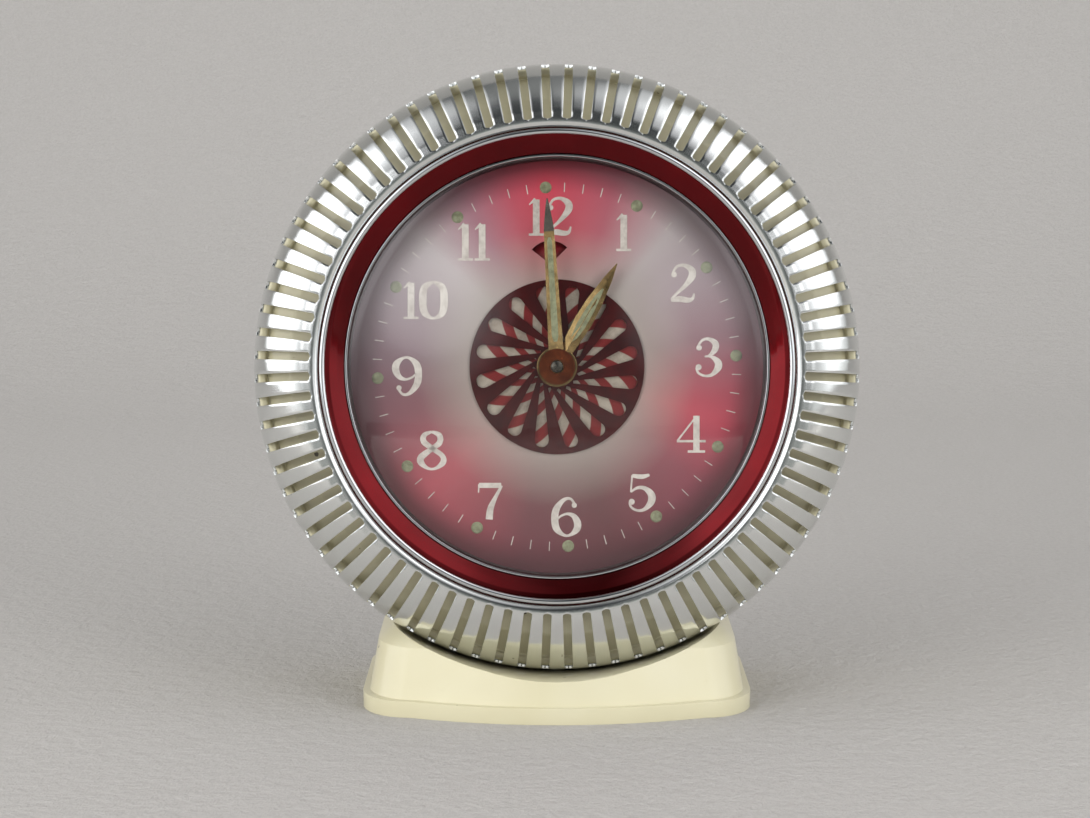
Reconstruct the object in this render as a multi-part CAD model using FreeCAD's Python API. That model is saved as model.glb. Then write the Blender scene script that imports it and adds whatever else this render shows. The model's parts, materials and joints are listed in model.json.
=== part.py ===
import FreeCAD, Part
import math
import os

# Wind-up alarm clock, millimetres. Every clock part is made in the clock frame, whose
# axis runs along Y: x to the right, y backwards from the bezel, z upwards. The clock is
# then leaned back and set on its base, which is made straight in the row's frame.

Vector = FreeCAD.Vector

leanDegrees = 7.5
dialCentreHeight = 64.0
frontReach = 29.4
baseOverhang = 9.2
baseFront = -frontReach
dialCentreDepth = baseFront + baseOverhang
runningFit = 0.05
bodyGap = 0.3
restingGap = 0.05

bezelRadius = 56.0
bezelSheet = 0.7
bezelDepth = 15.0
slotCount = 80
slotWidth = 1.5
slotStartRadius = 44.7
slotEndDepth = 12.3
bezelInnerRadius = 43.0
beadRadius = 0.5
beadCircleRadius = 42.45
redInnerRadius = 38.45
redOuterRadius = 41.95
crystalRadius = 39.8
crystalSheet = 1.5
crystalRise = 4.6
crystalSeat = 4.1

rimRadius = 55.2
drumRadius = 54.0
drumSheet = 0.8
flangeFront = 5.6
flangeSlope = 1.2
shoulderFront = 10.3
drumBack = 38.0
backOpeningRadius = 44.0
coverRadius = 47.0
coverSheet = 0.8

dialFront = 9.8
dialSheet = 0.5
spacerRadius = 40.6
spacerSheet = 2.0
dialRadius = 42.5
dialTurn = 3.6
discHoleRadius = 15.4
maskRadius = 16.1
maskSheet = 0.4
petalCount = 16
petalInnerRadius = 4.1
petalOuterRadius = 15.1
petalOffset = 2.8
petalStartHalf = 0.24
petalEndHalf = 1.3
windowApex = 18.9
windowArc = 4.4
windowHalfAngle = 48.0
dotCircle = 33.1
dotRadius = 1.1
dotHeight = 0.15

arborRadius = 1.2
hourPipeRadius = 2.2
discPipeRadius = 3.2
discFront = 10.1
discSheet = 0.3
discRadius = 15.0
hourHandFront = 7.6
minuteHandFront = 6.2
handSheet = 0.4
minuteHandLength = 30.8
minuteHandAngle = -3.4
hourHandLength = 21.9
hourHandAngle = 30.2
hubRadius = 3.3

frontPlateFront = 16.0
frontPlateRadius = 52.8
backPlateFront = 30.0
backPlateRadius = 45.0
plateSheet = 1.2
pillarCircle = 42.0
pillarAngles = (36.0, 160.0, 235.0, 305.0)
pillarRadius = 2.0
nutRadius = 3.2
springRadius = 11.5
springWidth = 5.5
springSheet = 0.35
springTurns = 9
keySpread = 18.0
setterRadius = 1.0

centreWheelTeeth = 80
centrePinionTeeth = 12
thirdWheelTeeth = 75
trainPinionTeeth = 10
fourthWheelTeeth = 64
escapePinionTeeth = 8
greatWheelTeeth = 60
cannonTeeth = 12
minuteWheelTeeth = 36
minutePinionTeeth = 10
hourWheelTeeth = 40
discGearTeeth = 50
discDriverTeeth = 100
alarmWheelTeeth = 48
alarmPinionTeeth = 8
centreModule = 0.4
thirdModule = 0.35
greatModule = 0.6
hourModule = 0.5
discModule = 0.4
alarmModule = 0.5

baseWidth = 72.0
baseDepth = 47.0
baseBow = 9.0
baseCorner = 9.0
flangeHeight = 3.0
flangeStep = 1.2
shoulderHeight = 12.3
shoulderInset = 2.8
roofHeight = 17.6
roofInset = 9.0
baseWall = 1.0
saddleRadius = 50.0
saddleHeight = 7.4
saddleScrewDepths = (-5.0, 3.0)
saddleScrewRadius = 1.5
saddleHeadRadius = 2.6


def polar(centre, radius, degrees):
    angle = math.radians(degrees)
    return (centre[0] + radius * math.cos(angle), centre[1] + radius * math.sin(angle))


def crossing(first, firstRadius, second, secondRadius):
    """The point at the two distances that lies to the left of the line between the centres."""
    spanX = second[0] - first[0]
    spanZ = second[1] - first[1]
    span = math.hypot(spanX, spanZ)
    along = (firstRadius ** 2 - secondRadius ** 2 + span ** 2) / (2 * span)
    across = math.sqrt(firstRadius ** 2 - along ** 2)
    middleX = first[0] + along * spanX / span
    middleZ = first[1] + along * spanZ / span
    return (middleX - across * spanZ / span, middleZ + across * spanX / span)


def heading(first, second):
    return math.degrees(math.atan2(second[1] - first[1], second[0] - first[0]))


def meshDistance(module, firstTeeth, secondTeeth):
    return module * (firstTeeth + secondTeeth) / 2


centre = (0.0, 0.0)
timeKey = (keySpread, -math.sqrt(meshDistance(greatModule, greatWheelTeeth, centrePinionTeeth) ** 2
                                 - keySpread ** 2))
alarmKey = (-timeKey[0], timeKey[1])
third = polar(centre, meshDistance(centreModule, centreWheelTeeth, trainPinionTeeth), 40.0)
discGearDistance = meshDistance(discModule, discGearTeeth, discDriverTeeth)
thirdDistance = meshDistance(thirdModule, thirdWheelTeeth, trainPinionTeeth)
fourth = crossing(third, thirdDistance, centre, discGearDistance)
escapeDistance = meshDistance(thirdModule, fourthWheelTeeth, escapePinionTeeth)
escape = polar(fourth, escapeDistance, 100.0)
pallet = polar(escape, 9.6, 125.0)
balance = polar(pallet, 9.0, 150.0)
hourDistance = meshDistance(hourModule, hourWheelTeeth, minutePinionTeeth)
minuteStud = polar(centre, hourDistance, -90.0)
cannonModule = 2 * hourDistance / (cannonTeeth + minuteWheelTeeth)
alarmSecond = polar(alarmKey, meshDistance(alarmModule, alarmWheelTeeth, alarmPinionTeeth), 100.0)
hammerPivot = (-24.0, 6.5)
bellCentre = (-26.0, 29.0)
bellRadius = 10.5
bellSheet = 0.8
setter = polar(centre, windowApex, 90.0 + dialTurn)
stopPoint = (30.0, 14.0)


def rod(point, start, end, radius):
    """A cylinder along the clock's axis."""
    return Part.makeCylinder(radius, end - start, Vector(point[0], start, point[1]), Vector(0, 1, 0))


def tube(point, start, end, outer, inner):
    return rod(point, start, end, outer).cut(rod(point, start - 1, end + 1, inner))


def turned(points, point=(0.0, 0.0)):
    """A body of revolution from radius and depth pairs."""
    corners = [Vector(radius + point[0], depth, point[1]) for radius, depth in points]
    face = Part.Face(Part.makePolygon(corners + corners[:1]))
    return face.revolve(Vector(point[0], 0, point[1]), Vector(0, 1, 0), 360)


def sheet(points, start, thickness):
    """A flat sheet from x and z pairs, its front face at the given depth."""
    corners = [Vector(x, start, z) for x, z in points]
    return Part.Face(Part.makePolygon(corners + corners[:1])).extrude(Vector(0, thickness, 0))


def fused(shapes):
    return shapes[0].multiFuse(shapes[1:]).removeSplitter()


def gear(point, teeth, module, toothAngle, start, thickness):
    """A gear with one tooth centred on the given angle and plenty of backlash."""
    pitchRadius = module * teeth / 2
    root = pitchRadius - 1.15 * module
    tip = pitchRadius + 0.75 * module
    step = 360.0 / teeth
    points = []
    for index in range(teeth):
        middle = toothAngle + index * step
        points.append(polar(point, root, middle - 0.25 * step))
        points.append(polar(point, tip, middle - 0.1 * step))
        points.append(polar(point, tip, middle + 0.1 * step))
        points.append(polar(point, root, middle + 0.25 * step))
    return sheet(points, start, thickness)


def wheelPhase(wheel, partner):
    return heading(wheel, partner)


def partnerPhase(partner, wheel, teeth):
    return heading(partner, wheel) + 180.0 / teeth


def lightened(wheel, point, start, thickness, inner, outer, spokes):
    """Cuts the openings between a wheel's spokes."""
    step = 360.0 / spokes
    for index in range(spokes):
        low = index * step + 9.0
        high = (index + 1) * step - 9.0
        angles = [low + (high - low) * part / 6 for part in range(7)]
        points = [polar(point, outer, angle) for angle in angles]
        points += [polar(point, inner, angle) for angle in (high - 9.0, low + 9.0)]
        wheel = wheel.cut(sheet(points, start - 1, thickness + 2))
    return wheel


def spiral(point, inner, outer, turns, thickness, start, width):
    """A flat coil spring."""
    count = turns * 16
    insidePoints = []
    outsidePoints = []
    for index in range(count + 1):
        share = index / count
        radius = inner + (outer - inner) * share
        inside = polar(point, radius, 360.0 * turns * share)
        outside = polar(point, radius + thickness, 360.0 * turns * share)
        insidePoints.append(Vector(inside[0], start, inside[1]))
        outsidePoints.append(Vector(outside[0], start, outside[1]))
    insideCurve = Part.BSplineCurve()
    insideCurve.interpolate(insidePoints)
    outsideCurve = Part.BSplineCurve()
    outsideCurve.interpolate(outsidePoints)
    ends = [Part.LineSegment(insidePoints[-1], outsidePoints[-1]).toShape(),
            Part.LineSegment(outsidePoints[0], insidePoints[0]).toShape()]
    wire = Part.Wire([insideCurve.toShape(), ends[0], outsideCurve.toShape(), ends[1]])
    return Part.Face(wire).extrude(Vector(0, width, 0))


def bezelProfile(offset):
    """Radius and depth of the bezel's face, from the inner edge round to the rear rim."""
    points = [(bezelInnerRadius, 0.9), (bezelInnerRadius + 0.6, 0.35), (44.2, 0.0),
              (46.8, 0.3), (49.2, 1.2), (51.4, 2.7), (53.3, 4.6), (54.7, 6.8), (55.6, 9.2)]
    points = [(radius - offset * 0.3, depth + offset) for radius, depth in points]
    rim = bezelRadius - offset
    return points + [(rim, 11.6), (rim, bezelDepth)]


def slottedBezel():
    outer = bezelProfile(0.0)
    inner = bezelProfile(bezelSheet)
    inner[0] = (bezelInnerRadius, inner[0][1])
    ring = turned(outer + inner[::-1])
    slots = []
    length = bezelRadius + 4 - slotStartRadius
    for index in range(slotCount):
        slot = Part.makeBox(length, slotEndDepth + 3, slotWidth,
                            Vector(slotStartRadius, -3, -slotWidth / 2))
        slot.rotate(Vector(0, 0, 0), Vector(0, 1, 0), (index + 0.5) * 360.0 / slotCount)
        slots.append(slot)
    return ring.cut(Part.makeCompound(slots))


def chromeBead():
    centrePoint = Vector(0, 0.35, 0)
    return Part.makeTorus(beadCircleRadius, beadRadius, centrePoint, Vector(0, 1, 0))


def redRing():
    outer = bezelInnerRadius - 0.05
    return turned([(redOuterRadius, 0.95), (redInnerRadius + 0.2, 3.3), (redInnerRadius + 0.2, 3.8),
                   (redOuterRadius - 0.2, 1.6), (outer - 0.6, 1.6), (outer - 0.6, 5.4),
                   (outer, 5.4), (outer, 0.95)])


def crystalLip():
    return turned([(redInnerRadius - 0.3, 3.2), (redInnerRadius + 0.15, 3.2),
                   (redInnerRadius + 0.15, 3.85), (crystalRadius + 0.3, 3.85),
                   (crystalRadius + 0.3, 4.05), (redInnerRadius - 0.3, 4.05)])


def crystal():
    """A domed disc with a flat edge held under the lip."""
    domeRadius = redInnerRadius - 0.5
    sphereRadius = (domeRadius ** 2 + crystalRise ** 2) / (2 * crystalRise)
    sphereDepth = crystalSeat - crystalRise + sphereRadius
    outside = Part.makeSphere(sphereRadius, Vector(0, sphereDepth, 0))
    inside = Part.makeSphere(sphereRadius - crystalSheet, Vector(0, sphereDepth, 0))
    dome = outside.cut(inside).common(rod(centre, -2, crystalSeat + crystalSheet, domeRadius + 1.2))
    flangeBack = crystalSeat + crystalSheet
    flange = tube(centre, crystalSeat, flangeBack, crystalRadius, domeRadius - 1.0)
    return fused([dome, flange]).cut(rod(centre, flangeBack, flangeBack + 5, crystalRadius))


def caseShell():
    inner = drumRadius - drumSheet
    flange = bezelInnerRadius + bodyGap
    shell = turned([(flange, flangeFront), (49.0, flangeFront + flangeSlope), (53.6, 11.4),
                   (53.6, shoulderFront), (rimRadius, shoulderFront),
                   (rimRadius, 17.5), (drumRadius, 18.6), (drumRadius, 30.0), (53.4, 33.2),
                   (51.9, 35.8), (49.6, 37.4), (47.6, drumBack), (backOpeningRadius, drumBack),
                   (backOpeningRadius, drumBack - drumSheet), (47.4, drumBack - drumSheet),
                   (49.2, 36.7), (51.3, 35.2), (52.6, 32.9), (inner, 30.0), (inner, 18.2),
                   (inner, 12.2), (49.0, 7.7), (flange, flangeFront + drumSheet)])
    cuts = [rod(point, drumBack - 3, drumBack + 3, 1.05) for point in coverScrewPlaces()]
    return shell.cut(Part.makeCompound(cuts))


def dialSpacer():
    front = crystalSeat + crystalSheet + restingGap
    back = dialFront - 0.02
    inner = spacerRadius - spacerSheet
    return turned([(inner, front), (spacerRadius, front), (spacerRadius, back),
                   (inner - 0.6, back), (inner - 0.6, front + 0.5)])


def petalPoints(index):
    """Outline of one straight slot that passes beside the hub and widens to a round end."""
    turn = math.radians(index * 360.0 / petalCount)
    near = math.sqrt(petalInnerRadius ** 2 - petalOffset ** 2)
    far = math.sqrt((petalOuterRadius - petalEndHalf) ** 2 - petalOffset ** 2)
    outline = [(near, petalStartHalf)]
    for part in range(9):
        outline.append(polar((far, 0.0), petalEndHalf, 90.0 - part * 22.5))
    outline.append((near, -petalStartHalf))
    return [(along * math.cos(turn) - (across - petalOffset) * math.sin(turn),
             along * math.sin(turn) + (across - petalOffset) * math.cos(turn))
            for along, across in outline]


def pinwheelMask():
    mask = tube(centre, dialFront - maskSheet, dialFront, maskRadius, discPipeRadius - 0.6)
    petals = [sheet(petalPoints(index), dialFront - 1, 2) for index in range(petalCount)]
    return mask.cut(Part.makeCompound(petals))


def dialPlate():
    plate = tube(centre, dialFront, dialFront + dialSheet, dialRadius, discHoleRadius)
    arc = [polar(setter, windowArc, 90.0 + dialTurn - windowHalfAngle + windowHalfAngle * part / 6)
           for part in range(13)]
    return plate.cut(sheet([setter] + arc, dialFront - 1, dialSheet + 2))


def hourDots():
    dots = []
    for index in range(12):
        point = polar(centre, dotCircle, 90.0 + dialTurn - 30.0 * index)
        dots.append(rod(point, dialFront - dotHeight, dialFront, dotRadius))
    return Part.makeCompound(dots)


def handShape(points, angle, start):
    hand = sheet(points + [(-x, z) for x, z in points[::-1]], start, handSheet)
    hand.rotate(Vector(0, 0, 0), Vector(0, 1, 0), angle)
    return hand


def minuteHand():
    body = handShape([(0.95, 0.0), (1.35, 3.0), (0.95, minuteHandLength - 6.3),
                      (0.12, minuteHandLength)], minuteHandAngle, minuteHandFront)
    boss = rod(centre, minuteHandFront, minuteHandFront + handSheet, hubRadius)
    return fused([body, boss]).cut(rod(centre, 0, 20, arborRadius + 0.02))


def hourHand():
    body = handShape([(1.1, 0.0), (1.2, 3.2), (1.7, 9.0), (0.1, hourHandLength)],
                     hourHandAngle, hourHandFront)
    boss = rod(centre, hourHandFront, hourHandFront + handSheet, hubRadius + 0.4)
    return fused([body, boss]).cut(rod(centre, 0, 20, hourPipeRadius + 0.02))


def hubCap():
    start = minuteHandFront - 0.55
    return tube(centre, start, minuteHandFront, hubRadius, arborRadius + 0.02)


def centreWheel():
    """The centre arbor with its pin in front, cannon pinion, pinion and wheel."""
    plateBack = frontPlateFront + plateSheet
    parts = [rod(centre, 4.9, 41.0, arborRadius),
             gear(centre, cannonTeeth, cannonModule, wheelPhase(centre, minuteStud), 13.7, 1.5),
             gear(centre, centrePinionTeeth, greatModule,
                  partnerPhase(centre, timeKey, centrePinionTeeth), plateBack + 0.8, 1.8)]
    start = plateBack + 3.8
    wheel = gear(centre, centreWheelTeeth, centreModule, wheelPhase(centre, third), start, 0.8)
    parts.append(lightened(wheel, centre, start, 0.8, 5.0, 13.6, 4))
    return fused(parts)


def timeSetKnob():
    knob = fused([rod(centre, 40.0, 42.6, 2.0), rod(centre, 42.6, 48.0, 5.0)])
    cuts = [rod(polar(centre, 5.6, index * 20.0), 42.0, 49.0, 0.9) for index in range(18)]
    cuts.append(rod(centre, 39.0, 41.1, arborRadius + 0.02))
    return knob.cut(Part.makeCompound(cuts))


def hourWheel():
    """The hour wheel with the pipe that carries the hour hand."""
    wheel = gear(centre, hourWheelTeeth, hourModule, wheelPhase(centre, minuteStud), 12.5, 0.7)
    pipe = rod(centre, hourHandFront, 13.2, hourPipeRadius)
    return fused([wheel, pipe]).cut(rod(centre, 0, 20, arborRadius + runningFit))


def minuteWheel():
    wheel = gear(minuteStud, minuteWheelTeeth, cannonModule,
                 partnerPhase(minuteStud, centre, minuteWheelTeeth), 13.9, 0.8)
    pinion = gear(minuteStud, minutePinionTeeth, hourModule,
                  partnerPhase(minuteStud, centre, minutePinionTeeth), 12.3, 1.7)
    return fused([wheel, pinion]).cut(rod(minuteStud, 10, 20, 0.8 + runningFit))


def minuteWheelStud():
    return rod(minuteStud, 12.3, frontPlateFront, 0.8)


def pinwheelDisc():
    """The turning disc, its pipe and the gear that drives it."""
    disc = rod(centre, discFront, discFront + discSheet, discRadius)
    start = 11.4
    wheel = gear(centre, discGearTeeth, discModule,
                 partnerPhase(centre, fourth, discGearTeeth), start, 0.6)
    pipe = rod(centre, discFront, start + 0.6, discPipeRadius)
    return fused([disc, wheel, pipe]).cut(rod(centre, 0, 20, hourPipeRadius + runningFit))


def greatWheel():
    start = frontPlateFront + plateSheet + 1.0
    wheel = gear(timeKey, greatWheelTeeth, greatModule, wheelPhase(timeKey, centre), start, 1.2)
    return wheel.cut(rod(timeKey, 0, 40, 2.0 + runningFit))


def thirdWheel():
    plateBack = frontPlateFront + plateSheet
    start = plateBack + 2.6
    wheel = gear(third, thirdWheelTeeth, thirdModule, wheelPhase(third, fourth), start, 0.7)
    parts = [lightened(wheel, third, start, 0.7, 4.5, 11.0, 4),
             gear(third, trainPinionTeeth, centreModule,
                  partnerPhase(third, centre, trainPinionTeeth), plateBack + 3.4, 1.8),
             rod(third, frontPlateFront + 0.1, backPlateFront + plateSheet - 0.1, 0.8)]
    return fused(parts)


def fourthWheel():
    """The fourth wheel, its pinion, and in front of the plate the pinwheel's driver."""
    plateBack = frontPlateFront + plateSheet
    start = plateBack + 5.2
    wheel = gear(fourth, fourthWheelTeeth, thirdModule, wheelPhase(fourth, escape), start, 0.7)
    driver = gear(fourth, discDriverTeeth, discModule, wheelPhase(fourth, centre), 11.4, 0.6)
    parts = [lightened(wheel, fourth, start, 0.7, 3.5, 9.2, 4),
             lightened(driver, fourth, 11.4, 0.6, 5.0, 17.0, 5),
             gear(fourth, trainPinionTeeth, thirdModule,
                  partnerPhase(fourth, third, trainPinionTeeth), plateBack + 1.6, 1.8),
             rod(fourth, 11.4, backPlateFront + plateSheet - 0.1, 0.8)]
    return fused(parts)


def escapeWheel():
    plateBack = frontPlateFront + plateSheet
    start = plateBack + 8.4
    points = []
    for index in range(15):
        points.append(polar(escape, 4.6, index * 24.0))
        points.append(polar(escape, 5.8, index * 24.0 + 3.0))
        points.append(polar(escape, 5.8, index * 24.0 + 5.0))
        points.append(polar(escape, 4.6, index * 24.0 + 12.0))
    parts = [sheet(points, start, 0.6),
             gear(escape, escapePinionTeeth, thirdModule,
                  partnerPhase(escape, fourth, escapePinionTeeth), plateBack + 4.6, 1.9),
             rod(escape, frontPlateFront + 0.1, backPlateFront + plateSheet - 0.1, 0.6)]
    return fused(parts)


def palletFork():
    """The lever between the escape wheel and the balance, with its two pins."""
    start = frontPlateFront + plateSheet + 9.6
    toEscape = heading(pallet, escape)
    toBalance = heading(pallet, balance)
    tips = [polar(pallet, 3.4, toEscape + side) for side in (-42.0, 42.0)]
    arm = polar(pallet, 6.6, toBalance)
    lever = sheet([polar(pallet, 1.6, toBalance + 90), tips[0], tips[1],
                   polar(pallet, 1.6, toBalance - 90), polar(arm, 0.6, toBalance - 90),
                   polar(arm, 0.6, toBalance + 90)], start, 0.7)
    pins = [rod(tip, start - 1.4, start + 0.7, 0.45) for tip in tips]
    staff = rod(pallet, frontPlateFront + 0.1, backPlateFront + plateSheet - 0.1, 0.6)
    return fused([lever, staff] + pins)


def balanceWheel():
    rim = tube(balance, 33.4, 34.8, 9.6, 8.4)
    bar = Part.makeBox(17.6, 0.8, 1.4, Vector(balance[0] - 8.8, 33.6, balance[1] - 0.7))
    staff = rod(balance, frontPlateFront + 0.1, 35.8, 0.6)
    roller = rod(balance, 26.9, 27.5, 1.6)
    return fused([rim, bar, staff, roller, rod(balance, 33.2, 34.8, 1.6)])


def balanceCock():
    """The bridge over the balance, standing on the back plate on two feet."""
    left = balance[0] - 13.0
    bar = Part.makeBox(26.0, 0.8, 4.0, Vector(left, 35.3, balance[1] - 2.0))
    feet = [rod((balance[0] + side * 11.5, balance[1]), backPlateFront + plateSheet, 35.4, 1.3)
            for side in (-1, 1)]
    return fused([bar] + feet).cut(rod(balance, 35.0, 37.0, 0.6 + runningFit))


def regulatorLever():
    """The lever round the cock's centre with a tip that comes out of the cover."""
    arm = Part.makeBox(1.6, 0.6, 6.4, Vector(balance[0] - 0.8, 36.4, balance[1] - 7.8))
    tip = rod((balance[0], balance[1] - 7.2), 36.4, 41.4, 0.8)
    return fused([tube(balance, 36.4, 37.0, 2.4, 1.2), arm, tip])


def frontPlate():
    plate = rod(centre, frontPlateFront, frontPlateFront + plateSheet, frontPlateRadius)
    holes = [(centre, arborRadius), (third, 0.8), (fourth, 0.8), (escape, 0.6), (pallet, 0.6),
             (balance, 0.6), (timeKey, 2.0), (alarmKey, 2.0), (alarmSecond, 0.8),
             (hammerPivot, 0.8), (setter, setterRadius)]
    cuts = [rod(point, frontPlateFront - 1, frontPlateFront + 3, radius + runningFit)
            for point, radius in holes]
    return plate.cut(Part.makeCompound(cuts))


def backPlate():
    plate = rod(centre, backPlateFront, backPlateFront + plateSheet, backPlateRadius)
    holes = [(centre, arborRadius), (third, 0.8), (fourth, 0.8), (escape, 0.6), (pallet, 0.6),
             (balance, 0.6 + bodyGap), (timeKey, 2.0), (alarmKey, 2.0), (alarmSecond, 0.8),
             (hammerPivot, 0.8), (setter, setterRadius)]
    cuts = [rod(point, backPlateFront - 1, backPlateFront + 3, radius + runningFit)
            for point, radius in holes]
    return plate.cut(Part.makeCompound(cuts))


def pillars():
    start = frontPlateFront + plateSheet
    return Part.makeCompound([rod(polar(centre, pillarCircle, angle), start, backPlateFront,
                                  pillarRadius) for angle in pillarAngles])


def pillarNuts():
    start = backPlateFront + plateSheet
    return Part.makeCompound([rod(polar(centre, pillarCircle, angle), start, start + 1.8, nutRadius)
                              for angle in pillarAngles])


def dialPillars():
    start = dialFront + dialSheet
    return Part.makeCompound([rod(polar(centre, 38.0, angle), start, frontPlateFront, 1.3)
                              for angle in (-60.0, 180.0, 120.0, -120.0)])


def mainspring(point):
    start = backPlateFront - springWidth - 0.8
    return spiral(point, 2.9, springRadius, springTurns, springSheet, start, springWidth)


def springPost(point, side):
    place = polar(point, springRadius + springSheet + 1.1, -90.0 + side * 40.0)
    return rod(place, backPlateFront - springWidth - 0.8, backPlateFront, 1.0)


def hairspring():
    return spiral(balance, 1.9, 5.2, 6, 0.12, 31.9, 0.5)


def windingArbor(point):
    return rod(point, frontPlateFront + 0.1, 44.0, 2.0)


def windingKey(point):
    """A butterfly key: a socket with two wings."""
    parts = [rod(point, 42.0, 49.0, 3.4)]
    for side in (-1, 1):
        wing = [(point[0] + side * 1.5, point[1] - 1.0), (point[0] + side * 8.0, point[1] - 5.4),
                (point[0] + side * 12.4, point[1] - 3.2), (point[0] + side * 12.4, point[1] + 3.2),
                (point[0] + side * 8.0, point[1] + 5.4), (point[0] + side * 1.5, point[1] + 1.0)]
        blade = Part.Face(Part.makePolygon([Vector(x, 0, z) for x, z in wing + wing[:1]]))
        blade = blade.extrude(Vector(0, 1.4, 0))
        blade.translate(Vector(0, 46.8, 0))
        parts.append(blade)
    return fused(parts).cut(rod(point, 41.0, 44.1, 2.02))


def alarmGreatWheel():
    start = frontPlateFront + plateSheet + 0.4
    wheel = gear(alarmKey, alarmWheelTeeth, alarmModule, wheelPhase(alarmKey, alarmSecond),
                 start, 1.2)
    return wheel.cut(rod(alarmKey, 0, 40, 2.0 + runningFit))


def alarmSecondWheel():
    plateBack = frontPlateFront + plateSheet
    parts = [gear(alarmSecond, alarmPinionTeeth, alarmModule,
                  partnerPhase(alarmSecond, alarmKey, alarmPinionTeeth), plateBack + 0.3, 1.5),
             gear(alarmSecond, 18, 0.35, 0.0, plateBack + 4.4, 0.8),
             rod(alarmSecond, frontPlateFront + 0.1, backPlateFront + plateSheet - 0.1, 0.8)]
    return fused(parts)


def alarmHammer():
    """The hammer arm with a head that stands inside the bell."""
    start = frontPlateFront + plateSheet + 1.0
    head = polar(bellCentre, bellRadius - bellSheet - 2.6, -22.0)
    across = heading(hammerPivot, head) + 90.0
    arm = sheet([polar(hammerPivot, 0.9, across), polar(head, 0.7, across),
                 polar(head, -0.7, across), polar(hammerPivot, -0.9, across)], start, 1.0)
    parts = [arm, rod(head, start, start + 6.5, 1.8),
             rod(hammerPivot, frontPlateFront + 0.1, backPlateFront + plateSheet - 0.1, 0.8)]
    return fused(parts)


def bell():
    """A cup open to the front, hung from the back plate by its post."""
    back = backPlateFront - 1.6
    front = frontPlateFront + plateSheet + 3.0
    cup = rod(bellCentre, front, back, bellRadius)
    cup = cup.cut(rod(bellCentre, front - 1, back - bellSheet, bellRadius - bellSheet))
    return cup.cut(rod(bellCentre, back - 3, back + 1, 1.2 + restingGap))


def bellPost():
    back = backPlateFront - 1.6
    return fused([rod(bellCentre, back - 2.4, backPlateFront, 1.2),
                  rod(bellCentre, back - 2.4, back - bellSheet - 0.02, 2.4),
                  rod(bellCentre, back + 0.02, backPlateFront, 2.4)])


def alarmDisc():
    return rod(setter, 10.7, 11.0, windowArc + 0.5)


def alarmSetArbor():
    return rod(setter, 11.0, 41.0, setterRadius)


def alarmSetKnob():
    knob = fused([rod(setter, 40.0, 42.6, 1.8), rod(setter, 42.6, 47.0, 4.0)])
    cuts = [rod(polar(setter, 4.6, index * 22.5), 42.0, 48.0, 0.8) for index in range(16)]
    cuts.append(rod(setter, 39.0, 41.05, setterRadius + 0.02))
    return knob.cut(Part.makeCompound(cuts))


def alarmStop():
    """A push button for silencing the alarm, with a collar inside the cover."""
    return fused([rod(stopPoint, 35.6, 44.6, 1.6), rod(stopPoint, 44.0, 46.4, 3.2),
                  rod(stopPoint, 35.6, 36.4, 2.6)])


def coverScrewPlaces():
    return [polar(centre, 45.6, angle) for angle in (45.0, 135.0, 225.0, 315.0)]


def backCover():
    start = drumBack + 0.02
    cover = rod(centre, start, start + coverSheet, coverRadius)
    holes = [(centre, 2.0), (timeKey, 2.0), (alarmKey, 2.0), (setter, 1.8), (stopPoint, 1.6)]
    cuts = [rod(point, start - 1, start + 3, radius + bodyGap) for point, radius in holes]
    cuts += [rod(point, start - 1, start + 3, 1.05) for point in coverScrewPlaces()]
    for index in range(13):
        angle = -90.0 + (index - 6) * 5.0
        cuts.append(rod(polar(balance, 7.2, angle), start - 1, start + 3, 0.8 + 0.45))
    return cover.cut(Part.makeCompound(cuts))


def coverScrews():
    start = drumBack + 0.02 + coverSheet
    screws = []
    for point in coverScrewPlaces():
        screw = fused([rod(point, drumBack - drumSheet - 1.4, start + 1.3, 1.0),
                       rod(point, start, start + 1.3, 2.2)])
        slot = Part.makeBox(6, 2, 0.6, Vector(point[0] - 3, start + 0.7, point[1] - 0.3))
        screws.append(screw.cut(slot))
    return Part.makeCompound(screws)


def basePlan(width, depth, bow, corner, height):
    """Closed outline of the base: bowed front, straight back, round corners."""
    half = width / 2
    sideFront = baseFront + baseBow
    back = baseFront + depth - (baseWidth - width) / 2
    front = baseFront + (baseWidth - width) / 2
    dropAtCorner = bow * ((half - corner) / half) ** 2
    points = []
    count = 24
    for index in range(count + 1):
        x = -(half - corner) + 2 * (half - corner) * index / count
        points.append(Vector(x, front + bow * (x / half) ** 2, height))
    cornerFront = front + dropAtCorner
    for index in range(1, 8):
        angle = math.radians(90.0 * index / 8)
        points.append(Vector(half - corner + corner * math.sin(angle),
                             cornerFront + corner * (1 - math.cos(angle)) * 1.1, height))
    points.append(Vector(half, max(sideFront, cornerFront + corner * 1.1), height))
    for index in range(9):
        angle = math.radians(90.0 * index / 8)
        points.append(Vector(half - corner * (1 - math.cos(angle)),
                             back - corner + corner * math.sin(angle), height))
    mirrored = [Vector(-point.x, point.y, point.z) for point in points[count + 1:]]
    return points + mirrored[::-1]


def planWire(points):
    return Part.makePolygon(points + points[:1])


def planSolid(inset, bottom, top, corner):
    width = baseWidth - 2 * inset
    face = Part.Face(planWire(basePlan(width, baseDepth, baseBow, corner, bottom)))
    return face.extrude(Vector(0, 0, top - bottom))


def slantedSolid(bottomInset, topInset, bottom, top, corner):
    lower = planWire(basePlan(baseWidth - 2 * bottomInset, baseDepth, baseBow, corner, bottom))
    upper = planWire(basePlan(baseWidth - 2 * topInset, baseDepth, baseBow, corner, top))
    return Part.makeLoft([lower, upper], True, True)


def drumSpace(margin):
    """Room for the drum and the bezel above the base."""
    drum = rod(centre, 16.0, drumBack + 20, drumRadius + margin)
    ring = rod(centre, -30, 18.9, bezelRadius + 0.6 + margin)
    return placed(fused([ring, drum]))


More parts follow.
